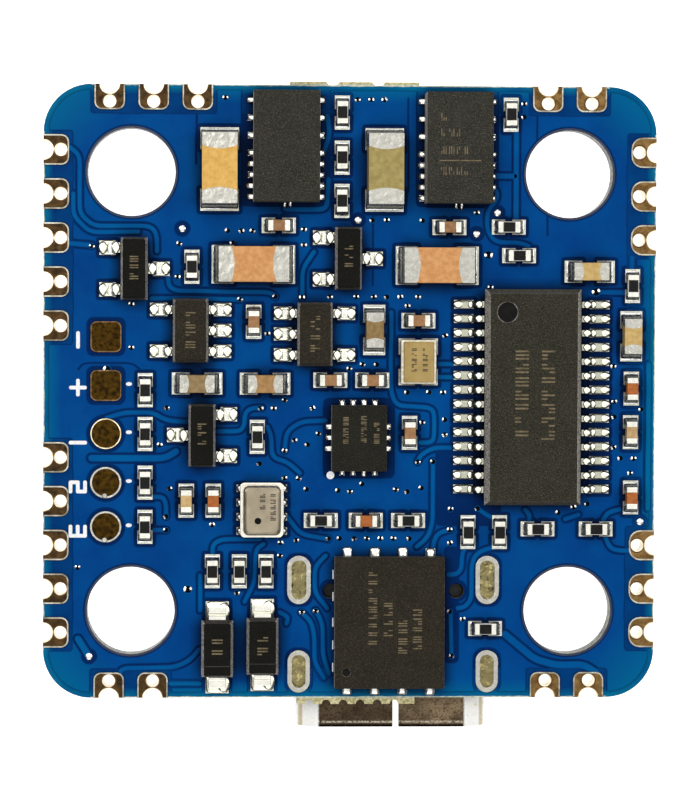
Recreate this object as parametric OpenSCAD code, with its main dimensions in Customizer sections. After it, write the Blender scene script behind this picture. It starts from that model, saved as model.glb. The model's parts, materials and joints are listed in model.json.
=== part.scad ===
// Miniature flight controller board for a drone, on the 20 x 20 mm mounting pattern.
// Origin: centre of the mounting pattern, on the underside of the board.
// +Z is the side that carries the sensor chips, and the USB socket looks towards -Y.

/* [Board] */
// Side of the square board
board_w = 28; // [27:0.5:32]
// Thickness of the laminate
board_t = 1.0; // [0.8:0.1:1.6]
// Radius of the board's corners
corner_r = 2.2; // [1:0.1:3]
// How far the stubs of the snapped-off panel tabs stand out of the front edge
stub_d = 0.3; // [0.1:0.05:0.4]
// Distance between mounting holes
hole_pitch = 20; // [20:0.5:20.5]
// Diameter of a mounting hole
hole_d = 4.0; // [3:0.1:4.2]

/* [Edge pads] */
// Width of a castellated pad along the edge
edge_pad_w = 1.38; // [1.2:0.02:1.5]
// Depth of a castellated pad from the edge
edge_pad_d = 1.16; // [1.14:0.01:1.3]
// Radius of a castellated pad's inner corners
edge_pad_corner_r = 0.34; // [0.2:0.02:0.6]
// Radius of those corners on the right edge, where the pads are rounder
right_pad_corner_r = 0.52; // [0.2:0.02:0.6]
// Radius of the half-round notch in the edge
edge_notch_r = 0.44; // [0.3:0.01:0.44]
// Radius of the through hole behind the notch
edge_hole_r = 0.28; // [0.2:0.01:0.3]
// Distance from the edge to the middle of that hole
edge_hole_inset = 0.79; // [0.76:0.01:0.82]
// Distance between neighbouring pads
edge_pitch = 2; // [1.6:0.1:2.2]

/* [Wire pads] */
// Side or diameter of a wire pad
wire_pad_w = 1.4; // [1:0.1:1.6]

/* [Chips] */
// Height of the leaded chips' moulded bodies
chip_h = 1.1; // [0.8:0.1:1.4]
// Height of the two power modules
power_module_h = 1.6; // [1.2:0.1:2]
// Pitch of the display chip's leads
osd_pitch = 0.65; // [0.5:0.05:0.7]
// Width of the processor's square body
mcu_w = 10; // [7:1:10]

/* [Sockets] */
// Middle of the USB socket along X
usb_x = 2.0; // [1.9:0.05:2.1]
// How far the USB socket stands out of the board's edge
usb_reach = 1.5; // [0.8:0.1:1.6]
// Middle of the power and motor socket along X
esc_x = 1.0; // [0:0.5:2]
// Number of contacts in that socket
esc_pins = 8; // [6:1:10]

/* [Button] */
// Middle of the boot button
button_at = [10.2, 0]; // [-11:0.1:11]
// Travel of the boot button
button_travel = 0.25; // [0.2:0.05:0.3]

/* [Hidden] */
$fn = 48;
half_w = board_w / 2;
eps = 0.01;                     // overshoot of a cut past a face
dot_d = 0.03;                   // depth of a pin-one mark in a chip's top

copper_t = 0.04;                // copper and its finish, above or below the laminate
plating_t = 0.04;               // wall of a plated hole
hole_at = hole_pitch / 2;

// Panel tabs: the board was snapped out along rows of small holes, which left scalloped stubs
front_stub = [-2.4, 3.0];       // where the stub starts and ends along X
rear_stub = [-2.8, 3.1];
rear_stub_d = stub_d / 2;
bite_pitch = 0.78;
bite_r = 0.2;
FRONT_BITES = [-2, -1, 0, 1, 2, 3];
REAR_BITES = [-0.85, 1.25];

// Turn of each board edge, then how many pitches each pad lies from the edge's middle
EDGE_ROWS = [
    [0, [-5.5, -4.5, 4.5, 5.5]],
    [90, [-5.5, -4.5, -3.5, 3.5, 4.5, 5.5]],
    [180, [-5.5, -4.5, 3.5, 4.5, 5.5]],
    [270, [-5.5, -4.5, -3.5, -2.5, -1.5, 1.5, 2.5, 3.5, 4.5, 5.5]]
];

wire_pad_x = -11.15;
SQUARE_WIRE_PADS = [2.5, 0.28];
ROUND_WIRE_PADS = [-1.92, -4.15, -6.17];

// Centres of the top side's chips
osd_at = [8.3, -0.19];
osd_size = [4.4, 9.85];
osd_lead_reach = 1.07;
osd_leads_a_side = 14;
flash_at = [1.8, -10.5];
flash_size = [5.0, 6.0];
flash_pitch = 1.27;
flash_h = 0.75;
motion_at = [0.38, -2.08];
motion_size = [2.5, 3.0];
motion_pitch = 0.5;
motion_h = 0.83;
barometer_at = [-4.03, -5.38];
barometer_size = [2.0, 2.5];
barometer_base_h = 0.25;
barometer_lid_h = 0.6;
osd_crystal_at = [3.1, 1.4];
osd_crystal_size = [1.6, 2.0];
crystal_base_h = 0.35;
crystal_lid_h = 0.2;
power_module_size = [3.0, 5.0];
power_left_at = [-2.98, 11.15];
power_right_at = [4.85, 11.12];
POWER_TERMINALS_Y = [2.15, 1.35, 0.55, -0.25, -0.75, -1.25, -1.75, -2.25];
land_t = 0.05;                  // copper and solder between a part and the laminate

// Small packages, each as [x, y] and, where it can be turned, its turn
TRANSISTORS = [[-9.86, 5.6, 0], [-0.14, 6.1, 0], [-6.77, -1.97, 180]];
REGULATORS = [[-7.3, 2.8, 180], [-1.65, 2.65, 0]];
DIODES = [[-6.05, -11.69], [-3.99, -11.58]];
transistor_size = [1.22, 2.86];
regulator_size = [1.6, 2.9];
diode_size = [1.45, 2.6];
sot_lead_reach = 0.62;
sot_pitch = 0.95;

// Two-ended parts: [length, width, height, length of an end]
size_1206 = [3.2, 1.6, 1.5, 0.6];
size_0603 = [1.6, 0.8, 0.75, 0.36];
size_0402 = [1.0, 0.5, 0.5, 0.24];
size_resistor = [1.0, 0.5, 0.3, 0.24];
LARGE_TAN = [[-6.0, 10.15, 90]];
LARGE_OLIVE = [[1.52, 10.15, 90]];
LARGE_OUTPUT = [[-4.45, 5.82, 0], [3.95, 5.8, 0]];
FILTER_CAPACITORS = [[10.95, 5.55, 0], [-7.0, 0.38, 0], [-3.9, 0.38, 0], [1.08, 2.85, 90], [12.88, 2.6, 90]];
SMALL_CAPACITORS = [
    [-3.3, 7.6, 0], [4.5, 7.55, 0], [3.1, 3.28, 0], [-0.92, 0.55, 0], [1.0, 0.55, 0], [0.73, -5.87, 0],
    [-4.43, 3.2, 90], [2.72, -1.85, 90], [-7.48, -4.97, 90], [-6.25, -4.97, 90],
    [12.9, 0.2, 90], [12.88, -1.8, 90], [12.9, -4.8, 90]
];
RESISTORS = [
    [-0.42, 12.75, 90], [-0.42, 10.7, 90], [-0.42, 8.73, 90], [7.3, 12.7, 90], [-7.25, 5.7, 90],
    [12.93, 4.9, 90], [-9.36, 0.07, 90], [-9.36, -1.93, 90], [-9.36, -4.15, 90], [-9.36, -6.17, 90],
    [-4.25, -2.05, 90], [-6.28, -8.2, 90], [-5.05, -8.2, 90], [-3.83, -8.2, 90],
    [5.42, -6.4, 90], [6.87, -6.4, 90],
    [7.22, 7.57, 0], [7.7, 6.27, 0], [-1.33, -5.87, 0], [2.67, -5.87, 0], [8.62, -6.25, 0],
    [11.3, -6.25, 0], [6.23, -10.83, 0]
];

// Underside: processor, its crystal and its small parts, placed round the processor
mcu_at = [-1.5, 0.4];
mcu_pitch = 0.5;
mcu_leads_a_side = 16;
mcu_h = 1.4;
mcu_lead_reach = 1.0;
mcu_crystal_at = [-10.4, -1.5];
mcu_crystal_size = [2.5, 3.2];
LOW_CAPACITORS = [
    [-8.6, 6.6, 0], [-6.6, 7.6, 0], [-4.6, 7.6, 0], [5.2, 7.3, 90], [6.6, -6.2, 0], [-8.6, -6.6, 0],
    [-6.4, -7.4, 0], [-9.4, -4.4, 0], [-9.4, 1.4, 0], [6.7, 4.6, 90]
];
LOW_RESISTORS = [
    [-2.6, 7.6, 0], [6.7, 2.4, 90], [6.7, -2.4, 90], [6.7, -4.4, 90], [-4.4, -7.4, 0], [-4.4, -9.0, 0],
    [8.2, 5.4, 0], [8.2, -5.4, 0]
];
STATUS_LEDS = [[11.2, 5.2, 90], [11.2, -5.2, 90]];
size_led = [1.6, 0.8, 0.6, 0.3];

// USB socket, in its own frame: mouth at y = 0, looking along -Y, its top on the board's underside
usb_size = [8.94, 3.16];        // width and height of the shell
usb_l = 7.4;
usb_wall = 0.3;
usb_outer_r = 1.2;
usb_block_y = 5.6;              // front of the insulator's solid block
usb_shell_open_y = 5.8;         // where the shell's board side ends
usb_tab_x = (usb_size.x - usb_wall) / 2;
usb_front_tab_y = 2.7;
usb_rear_tab_y = 6.9;
usb_seam_x = 0.2;               // the seam lies a little to one side
usb_seam_w = 0.28;
usb_tongue = [6.7, 0.7];
usb_tongue_tip_y = 0.9;
usb_contact_w = 0.26;
usb_contact_t = 0.06;
usb_contacts_a_side = 12;
usb_contact_pitch = 0.5;
usb_peg_r = 0.3;
usb_peg_x = 2.9;
usb_peg_y = 6.4;
slot_front = [0.6, 1.5];        // clear slot round a front tab, and round a rear tab
slot_rear = [0.65, 1.78];
slot_rim = 0.22;                // width of the bright rim round a slot

// Power and motor socket, in its own frame: mouth at y = 0, looking along -Y
esc_pitch = 1.0;
esc_size = [(esc_pins - 1) * esc_pitch + 3, 4.25, 2.95];
esc_wall = 0.45;
esc_cavity_l = 3.2;
esc_pin_w = 0.22;
esc_tail_l = 0.8;

// Boot button, in its own frame: z runs away from the board
button_size = [4.0, 3.0];
button_base_h = 1.0;
button_floor_h = 0.35;
button_pocket_r = 1.2;
button_cover_z = 1.2;
button_cover_t = 0.15;
button_dome_h = 0.3;
button_dome_t = 0.06;
button_flange_r = 1.0;
button_stem_r = 0.75;
button_tip_z = 1.95;

// ---------- shared shapes ----------

// A block centred on X and Y that stands on z = 0
module block(size, h) {
    translate([-size.x / 2, -size.y / 2, 0]) cube([size.x, size.y, h]);
}

// A flat rectangle with round corners
module round_rect(size, r) {
    square([size.x - 2 * r, size.y], center = true);
    square([size.x, size.y - 2 * r], center = true);
    for (x = [-1, 1], y = [-1, 1]) translate([x * (size.x / 2 - r), y * (size.y / 2 - r)]) circle(r);
}

// A flat slot with round ends that runs along Y
module slot(size) {
    square([size.x, size.y - size.x], center = true);
    for (y = [-1, 1]) translate([0, y * (size.y - size.x) / 2]) circle(size.x / 2);
}

// Put a part on the board's top face at each place
module on_top(places) {
    for (p = places) translate([p.x, p.y, board_t]) rotate(len(p) > 2 ? p.z : 0) children();
}

// Put a part on the underside at each place, so that its own +Z runs away from the board
module underneath(places) {
    for (p = places) translate([p.x, p.y, 0]) rotate([180, 0, len(p) > 2 ? p.z : 0]) children();
}

// A moulded body whose sides slope in above and below its parting line
module moulded_body(size, h, slope = 0.2) {
    part_z = h * 0.45;
    translate([0, 0, land_t]) hull() {
        block(size - [slope, slope], h);
        translate([0, 0, part_z]) block(size, h * 0.1);
    }
}

// A lead that leaves a body along +X at height exit_z, and turns down to a foot on the board
module gull_lead(reach, exit_z, foot, t, w) {
    shoulder = (reach - foot) * 0.45;
    translate([0, w / 2, land_t]) rotate([90, 0, 0]) linear_extrude(w) polygon([
        [0, exit_z], [shoulder, exit_z], [reach - foot, 0], [reach, 0],
        [reach, t], [reach - foot + t * 0.6, t], [shoulder + t * 0.6, exit_z + t], [0, exit_z + t]
    ]);
}

// Leads in a row along Y, on the side of a body that is body_w wide
module lead_row(body_w, count, pitch, reach, exit_z, foot, t, w) {
    for (i = [0 : count - 1])
        translate([body_w / 2, (i - (count - 1) / 2) * pitch, 0]) gull_lead(reach, exit_z, foot, t, w);
}

// The ceramic of a two-ended part, which runs through inside both metal ends
module end_to_end_core(size) {
    t = 0.04;
    translate([0, 0, land_t]) {
        block([size.x - 2 * size[3], size.y], size.z);
        translate([0, 0, t]) block([size.x - 2 * t, size.y - 2 * t], size.z - 2 * t);
    }
}

// The two metal ends that wrap round that ceramic
module metal_ends(size) {
    difference() {
        for (side = [-1, 1])
            translate([side * (size.x - size[3]) / 2, 0, land_t]) block([size[3], size.y], size.z);
        end_to_end_core(size);
    }
}

// The two solder lands under a two-ended part
module end_lands(size, span, w) {
    land_l = (span - size.x) / 2 + size[3] + 0.1;
    for (side = [-1, 1]) translate([side * (span - land_l) / 2, 0, 0]) block([land_l, w], land_t);
}

// A shallow round mark to cut into the top of a body that is h high
module pin_one_mark(at, r, h) {
    translate([at.x, at.y, land_t + h - dot_d]) cylinder(h = 1, r = r);
}

// Lands in a row along Y at distance x from a chip's middle
module land_row(x, count, pitch, size) {
    for (i = [0 : count - 1]) translate([x, (i - (count - 1) / 2) * pitch, 0]) block(size, land_t);
}

// A ceramic crystal base, its metal lid and the four lands it is soldered to
module crystal_base(size) {
    translate([0, 0, land_t]) block(size, crystal_base_h);
}
module crystal_lid(size) {
    translate([0, 0, land_t + crystal_base_h]) block(size - [0.22, 0.16], crystal_lid_h);
}
module crystal_lands(size) {
    for (x = [-1, 1], y = [-1, 1]) translate([x * size.x * 0.33, y * size.y * 0.35, 0])
        block([size.x * 0.46, size.y * 0.37], land_t);
}

// ---------- board and its copper ----------

// Places every castellation of the board, with the edge at y = 0 and the board towards +Y.
// $pad_corner_r is the radius that a pad has at its inner corners there.
module at_edge_pads() {
    for (row = EDGE_ROWS, n = row[1]) {
        $pad_corner_r = row[0] == 90 ? right_pad_corner_r : edge_pad_corner_r;
        rotate(row[0]) translate([n * edge_pitch, -half_w]) children();
    }
}

module at_mounting_holes() {
    for (x = [-1, 1], y = [-1, 1]) translate([x * hole_at, y * hole_at]) children();
}

// Places the four slots for the USB shell's tabs; children(0) at the front, children(1) at the rear
module at_usb_slots() {
    for (side = [-1, 1]) translate([usb_x + side * usb_tab_x, -half_w - usb_reach]) {
        translate([0, usb_front_tab_y]) children(0);
        translate([0, usb_rear_tab_y]) children(1);
    }
}

// Flat stubs on the front and rear edges, with the round bites of the snapped holes
module panel_stubs() {
    front_y = -half_w - stub_d;
    rear_y = half_w + rear_stub_d;
    difference() {
        translate([front_stub[0], front_y]) square([front_stub[1] - front_stub[0], stub_d + 1]);
        for (n = FRONT_BITES) translate([(n - 0.35) * bite_pitch, front_y]) circle(bite_r);
    }
    difference() {
        translate([rear_stub[0], half_w - 1]) square([rear_stub[1] - rear_stub[0], rear_stub_d + 1]);
        for (x = REAR_BITES) translate([x, rear_y + bite_r / 2]) circle(1.5 * bite_r);
    }
}

module circuit_board() {
    color("#0a4a94") linear_extrude(board_t) difference() {
        union() {
            round_rect([board_w, board_w], corner_r);
            panel_stubs();
        }
        at_mounting_holes() circle(hole_d / 2);
        at_edge_pads() {
            circle(edge_notch_r);
            translate([0, edge_hole_inset]) circle(edge_hole_r);
        }
        at_usb_slots() {
            slot(slot_front + 2 * [plating_t, plating_t]);
            slot(slot_rear + 2 * [plating_t, plating_t]);
        }
        for (side = [-1, 1])
            translate([usb_x + side * usb_peg_x, usb_peg_y - half_w - usb_reach]) circle(usb_peg_r + 0.05);
    }
}

// Outline of a castellated pad, round at its inner corners
module edge_pad_outline() {
    r = $pad_corner_r;
    difference() {
        union() {
            translate([-edge_pad_w / 2, 0]) square([edge_pad_w, edge_pad_d - r]);
            translate([r - edge_pad_w / 2, 0]) square([edge_pad_w - 2 * r, edge_pad_d]);
            for (side = [-1, 1]) translate([side * (edge_pad_w / 2 - r), edge_pad_d - r]) circle(r);
        }
        circle(edge_notch_r);
        translate([0, edge_hole_inset]) circle(edge_hole_r);
    }
}

module edge_pads() {
    color("#8a6430") for (z = [-copper_t, board_t])
        translate([0, 0, z]) at_edge_pads() linear_extrude(copper_t) edge_pad_outline();
}

module wire_pads() {
    color("#6e4d20") {
        for (y = SQUARE_WIRE_PADS) translate([wire_pad_x, y, board_t])
            linear_extrude(copper_t) round_rect([wire_pad_w, wire_pad_w], 0.28);
        for (y = ROUND_WIRE_PADS) translate([wire_pad_x, y, board_t]) cylinder(h = copper_t, r = wire_pad_w / 2);
    }
}

// One slot's plated barrel, with a rim on both faces of the board
module slot_barrel(size) {
    difference() {
        union() {
            linear_extrude(board_t) slot(size + 2 * [plating_t, plating_t]);
            for (z = [-copper_t, board_t])
                translate([0, 0, z]) linear_extrude(copper_t) slot(size + 2 * [slot_rim, slot_rim]);
        }
        translate([0, 0, -1]) linear_extrude(board_t + 2) slot(size);
    }
}

module usb_slot_plating() {
    color("#d8d8d4") at_usb_slots() {
        slot_barrel(slot_front);
        slot_barrel(slot_rear);
    }
}

// Solder that fills each slot round the shell's tab
module usb_slot_solder() {
    sunk = 0.12;
    color("#b9b5a6") difference() {
        at_usb_slots() {
            linear_extrude(board_t - sunk) slot(slot_front);
            linear_extrude(board_t - sunk) slot(slot_rear);
        }
        usb_shell();
    }
}

module component_lands() {
    color("#c9c9c4") {
        on_top(concat(LARGE_TAN, LARGE_OLIVE, LARGE_OUTPUT)) end_lands(size_1206, 3.8, 1.75);
        on_top(FILTER_CAPACITORS) end_lands(size_0603, 2.3, 1.0);
        on_top(SMALL_CAPACITORS) end_lands(size_0402, 1.55, 0.7);
        on_top(RESISTORS) end_lands(size_resistor, 1.55, 0.68);
        on_top([osd_crystal_at]) crystal_lands(osd_crystal_size);
        on_top([barometer_at]) for (side = [0, 180]) rotate(side) land_row(0.98, 4, 0.65, [0.34, 0.34]);
        on_top([osd_at]) for (side = [0, 180])
            rotate(side) land_row(3.12, osd_leads_a_side, osd_pitch, [0.9, 0.4]);
        on_top(TRANSISTORS) {
            rotate(180) land_row(1.22, 2, 2 * sot_pitch, [0.75, 0.65]);
            land_row(1.22, 1, sot_pitch, [0.75, 0.65]);
        }
        on_top(REGULATORS) {
            rotate(180) land_row(1.45, 3, sot_pitch, [0.8, 0.6]);
            land_row(1.45, 2, 2 * sot_pitch, [0.8, 0.6]);
        }
        on_top(DIODES) rotate(90) for (side = [0, 180]) rotate(side) land_row(1.66, 1, 1, [0.9, 1.05]);
        underneath(LOW_CAPACITORS) end_lands(size_0402, 1.5, 0.7);
        underneath(LOW_RESISTORS) end_lands(size_resistor, 1.5, 0.68);
        underneath(STATUS_LEDS) end_lands(size_led, 2.2, 0.9);
        underneath([mcu_crystal_at]) crystal_lands(mcu_crystal_size);
        underneath([mcu_at]) for (side = [0 : 90 : 270])
            rotate(side) land_row(mcu_w / 2 + 0.75, mcu_leads_a_side, mcu_pitch, [0.9, 0.3]);
    }
}

// ---------- top side ----------

module power_module_left() {
    color("#34322f") on_top([power_left_at]) translate([0, 0, land_t]) block(power_module_size, power_module_h);
}

module power_module_right() {
    color("#34322f") on_top([power_right_at]) difference() {
        translate([0, 0, land_t]) block(power_module_size, power_module_h);
        pin_one_mark([0.75, -1.8], 0.1, power_module_h);
    }
}

// Flat terminals that show a little beyond the module's sides
module power_module_terminals() {
    color("#d8d8d4") on_top([power_left_at, power_right_at]) {
        for (side = [-1, 1], y = POWER_TERMINALS_Y)
            translate([side * power_module_size.x / 2, y, 0]) block([0.5, 0.28], land_t);
        for (x = [-0.05, 0.2]) translate([x, -power_module_size.y / 2, 0]) block([0.16, 0.44], land_t);
    }
}

module osd_chip() {
    color("#3a3835") on_top([osd_at]) difference() {
        moulded_body(osd_size, chip_h, 0.4);
        pin_one_mark([-1.22, 3.88], 0.47, chip_h);
    }
}

module osd_chip_leads() {
    color("#d8d8d4") on_top([osd_at]) for (side = [0, 180]) rotate(side)
        lead_row(osd_size.x, osd_leads_a_side, osd_pitch, osd_lead_reach, 0.5, 0.55, 0.13, 0.3);
}

module osd_crystal_base() {
    color("#b3a06a") on_top([osd_crystal_at]) crystal_base(osd_crystal_size);
}

module osd_crystal_lid() {
    color("#cdaf73") on_top([osd_crystal_at]) crystal_lid(osd_crystal_size);
}

module flash_chip() {
    color("#3a3835") on_top([flash_at]) difference() {
        translate([0, 0, land_t]) block(flash_size, flash_h);
        pin_one_mark([-1.97, -2.25], 0.2, flash_h);
    }
}

module flash_chip_terminals() {
    color("#d8d8d4") on_top([flash_at]) for (side = [-1, 1], i = [0 : 3])
        translate([(i - 1.5) * flash_pitch, side * (flash_size.y / 2 - 0.05), 0]) block([0.45, 0.8], land_t);
}

module motion_sensor() {
    color("#2d2c2b") on_top([motion_at]) difference() {
        translate([0, 0, land_t]) block(motion_size, motion_h);
        pin_one_mark([-0.75, -1.0], 0.1, motion_h);
    }
}

module motion_sensor_terminals() {
    color("#d8d8d4") on_top([motion_at]) {
        for (side = [-1, 1], i = [0 : 3])
            translate([(i - 1.5) * motion_pitch, side * (motion_size.y / 2 - 0.02), 0]) block([0.26, 0.5], land_t);
        for (side = [-1, 1], i = [-1 : 1])
            translate([side * (motion_size.x / 2 - 0.02), i * motion_pitch, 0]) block([0.5, 0.26], land_t);
    }
}

module barometer_base() {
    color("#c8a860") on_top([barometer_at]) translate([0, 0, land_t])
        linear_extrude(barometer_base_h) round_rect(barometer_size, 0.2);
}

// Pressed lid with a vent hole near one corner
module barometer_lid() {
    vent_r = 0.145;
    lid_t = 0.1;
    size = barometer_size - [0.3, 0.26];
    color("#c8b9a5") on_top([barometer_at]) translate([0, 0, land_t + barometer_base_h]) difference() {
        pressed_shape(size, barometer_lid_h, 0.25);
        translate([0, 0, -eps]) pressed_shape(size - 2 * [lid_t, lid_t], barometer_lid_h - lid_t + eps, 0.15);
        translate([-0.19, -0.46, 0]) cylinder(h = 1, r = vent_r);
    }
}

// Shallow pressing: round corners, and a sloping shoulder round the top
module pressed_shape(size, h, r) {
    shoulder = 0.14;
    hull() {
        linear_extrude(h - shoulder) round_rect(size, r);
        linear_extrude(h - shoulder * 0.35) round_rect(size - 0.6 * [shoulder, shoulder], r - shoulder * 0.2);
        linear_extrude(h) round_rect(size - 2 * [shoulder, shoulder], r - shoulder / 2);
    }
}

module transistors() {
    color("#33312e") on_top(TRANSISTORS) moulded_body(transistor_size, 1.0, 0.22);
}

module transistor_leads() {
    reach = sot_lead_reach;
    color("#d8d8d4") on_top(TRANSISTORS) {
        rotate(180) lead_row(transistor_size.x, 2, 2 * sot_pitch, reach, 0.45, 0.3, 0.13, 0.48);
        lead_row(transistor_size.x, 1, sot_pitch, reach, 0.45, 0.3, 0.13, 0.48);
    }
}

module regulators() {
    color("#33312e") on_top(REGULATORS) moulded_body(regulator_size, 1.0, 0.22);
}

module regulator_leads() {
    reach = sot_lead_reach + 0.08;
    color("#d8d8d4") on_top(REGULATORS) {
        rotate(180) lead_row(regulator_size.x, 3, sot_pitch, reach, 0.45, 0.35, 0.13, 0.4);
        lead_row(regulator_size.x, 2, 2 * sot_pitch, reach, 0.45, 0.35, 0.13, 0.4);
    }
}

module diodes() {
    color("#2f2e2c") on_top(DIODES) moulded_body(diode_size, 1.0, 0.26);
}

module diode_terminals() {
    color("#d8d8d4") on_top(DIODES) rotate(90) for (side = [0, 180]) rotate(side)
        lead_row(diode_size.y, 1, 1, 0.55, 0.42, 0.35, 0.13, 0.8);
}

module input_capacitor_tan() {
    color("#dcac55") on_top(LARGE_TAN) end_to_end_core(size_1206);
}

module input_capacitor_olive() {
    color("#a08c50") on_top(LARGE_OLIVE) end_to_end_core(size_1206);
}

module output_capacitors() {
    color("#d5965f") on_top(LARGE_OUTPUT) end_to_end_core(size_1206);
}

module large_capacitor_ends() {
    color("#d8d8d4") on_top(concat(LARGE_TAN, LARGE_OLIVE, LARGE_OUTPUT)) metal_ends(size_1206);
}

module filter_capacitors() {
    color("#c49a5c") on_top(FILTER_CAPACITORS) end_to_end_core(size_0603);
}

module filter_capacitor_ends() {
    color("#d8d8d4") on_top(FILTER_CAPACITORS) metal_ends(size_0603);
}

module small_capacitors() {
    color("#aa7850") {
        on_top(SMALL_CAPACITORS) end_to_end_core(size_0402);
        underneath(LOW_CAPACITORS) end_to_end_core(size_0402);
    }
}

module small_capacitor_ends() {
    color("#d8d8d4") {
        on_top(SMALL_CAPACITORS) metal_ends(size_0402);
        underneath(LOW_CAPACITORS) metal_ends(size_0402);
    }
}

module resistor_cores() {
    color("#e8e6de") {
        on_top(RESISTORS) end_to_end_core(size_resistor);
        underneath(LOW_RESISTORS) end_to_end_core(size_resistor);
    }
}

// Dark glaze over the middle of each resistor
module resistor_coats() {
    coat_t = 0.05;
    color("#1c1b1a") {
        on_top(RESISTORS) resistor_coat(coat_t);
        underneath(LOW_RESISTORS) resistor_coat(coat_t);
    }
}

module resistor_coat(t) {
    translate([0, 0, land_t + size_resistor.z])
        block([size_resistor.x - 2 * size_resistor[3], size_resistor.y - 0.06], t);
}

module resistor_ends() {
    color("#d8d8d4") {
        on_top(RESISTORS) metal_ends(size_resistor);
        underneath(LOW_RESISTORS) metal_ends(size_resistor);
    }
}

// ---------- underside ----------

module mcu_chip() {
    color("#2b2a29") underneath([mcu_at]) difference() {
        moulded_body([mcu_w, mcu_w], mcu_h, 0.3);
        pin_one_mark([-mcu_w * 0.38, mcu_w * 0.38], 0.45, mcu_h);
    }
}

module mcu_leads() {
    color("#d8d8d4") underneath([mcu_at]) for (side = [0 : 90 : 270]) rotate(side)
        lead_row(mcu_w, mcu_leads_a_side, mcu_pitch, mcu_lead_reach, 0.65, 0.55, 0.13, 0.22);
}

module mcu_crystal_base() {
    color("#b3a06a") underneath([mcu_crystal_at]) crystal_base(mcu_crystal_size);
}

module mcu_crystal_lid() {
    color("#b8b8b4") underneath([mcu_crystal_at]) crystal_lid(mcu_crystal_size);
}

// Places the USB socket: its mouth is out past the board's front edge
module at_usb() {
    translate([usb_x, -half_w - usb_reach, 0]) children();
}

// The socket's cross-section swept along Y from y0 to y1, with its top at z = 0
module usb_section(inset, y0, y1) {
    translate([0, y1, -usb_size.y / 2]) rotate([90, 0, 0]) linear_extrude(y1 - y0)
        round_rect(usb_size - 2 * [inset, inset], usb_outer_r - inset);
}

// Rolled steel shell with its seam on the board side and four tabs through the board
module usb_shell() {
    tab_z = 0.75;               // how far a tab stands up into its slot
    color("#c9bfae") at_usb() {
        difference() {
            usb_section(0, 0, usb_l);
            usb_section(usb_wall, -eps, usb_l + eps);
            translate([usb_seam_x - usb_seam_w / 2, -eps, -usb_wall - 0.1]) cube([usb_seam_w, usb_l, 1]);
            translate([0, usb_shell_open_y + usb_l / 2, -usb_wall - 0.1]) block([7.4, usb_l], 1);
        }
        for (side = [-1, 1], tab = [[usb_front_tab_y, 1.1], [usb_rear_tab_y, 1.4]])
            translate([side * usb_tab_x, min(tab[0], usb_l - tab[1] / 2), -1.2])
                block([usb_wall, tab[1]], 1.2 + tab_z);
    }
}

// Moulded insulator: the block at the rear, the tongue and the two pegs into the board
module usb_insulator() {
    block_l = usb_l - 0.3 - usb_block_y;
    color("#1f1f20") difference() {
        at_usb() {
            usb_section(usb_wall, usb_block_y, usb_block_y + block_l);
            translate([0, usb_tongue_tip_y + (usb_block_y - usb_tongue_tip_y) / 2, -usb_size.y / 2 - usb_tongue.y / 2])
                block([usb_tongue.x, usb_block_y - usb_tongue_tip_y + 2 * eps], usb_tongue.y);
            translate([0, usb_shell_open_y + 0.65, -usb_wall - eps]) block([7.0, 1.3], usb_wall - 0.05 + eps);
            for (side = [-1, 1]) translate([side * usb_peg_x, usb_peg_y, -usb_wall])
                cylinder(h = usb_wall + board_t * 0.6, r = usb_peg_r);
        }
        usb_contacts_upper();
        usb_contacts_lower();
        usb_mid_plate();
    }
}

// Steel plate inside the tongue
module usb_mid_plate() {
    color("#9a9894") at_usb() translate([0, 3.2, -usb_size.y / 2 - 0.08]) block([6.9, 3.8], 0.16);
}

// Contacts on the board side of the tongue, each with a tail out of the rear onto the board
module usb_contacts_upper() {
    t = usb_contact_t;
    face_z = usb_tongue.y / 2 - usb_size.y / 2;
    drop_y = 6.6;
    tail_y = usb_l + 0.5;
    color("#c9a24a") at_usb() for (i = [0 : usb_contacts_a_side - 1])
        translate([(i - (usb_contacts_a_side - 1) / 2) * usb_contact_pitch - usb_contact_w / 2, 0, 0])
            rotate([90, 0, 90]) linear_extrude(usb_contact_w) polygon([
                [1.3, face_z], [drop_y + t, face_z], [drop_y + t, -t], [tail_y, -t],
                [tail_y, 0], [drop_y, 0], [drop_y, face_z + t], [1.3, face_z + t]
            ]);
}

module usb_contacts_lower() {
    t = usb_contact_t;
    face_z = -usb_tongue.y / 2 - usb_size.y / 2;
    color("#c9a24a") at_usb() for (i = [0 : usb_contacts_a_side - 1])
        translate([(i - (usb_contacts_a_side - 1) / 2) * usb_contact_pitch, 3.8, face_z - t])
            block([usb_contact_w, 5.0], t);
}

// Places the power and motor socket at the rear edge, with its own +Z away from the board
module at_esc_socket() {
    translate([esc_x, half_w, 0]) rotate([180, 0, 0]) children();
}

module esc_socket_housing() {
    color("#e6dcc0") difference() {
        at_esc_socket() difference() {
            translate([0, esc_size.y / 2, 0]) block([esc_size.x, esc_size.y], esc_size.z);
            translate([0, esc_cavity_l / 2 - eps, esc_wall])
                block([esc_size.x - 2 * esc_wall - 0.6, esc_cavity_l], esc_size.z - 2 * esc_wall);
            for (side = [-1, 1]) translate([side * (esc_size.x / 2 - 1.5), 1.2, esc_size.z - esc_wall - 1])
                block([0.8, 2.5], 2);
        }
        esc_socket_contacts();
        esc_socket_anchors();
    }
}

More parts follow.
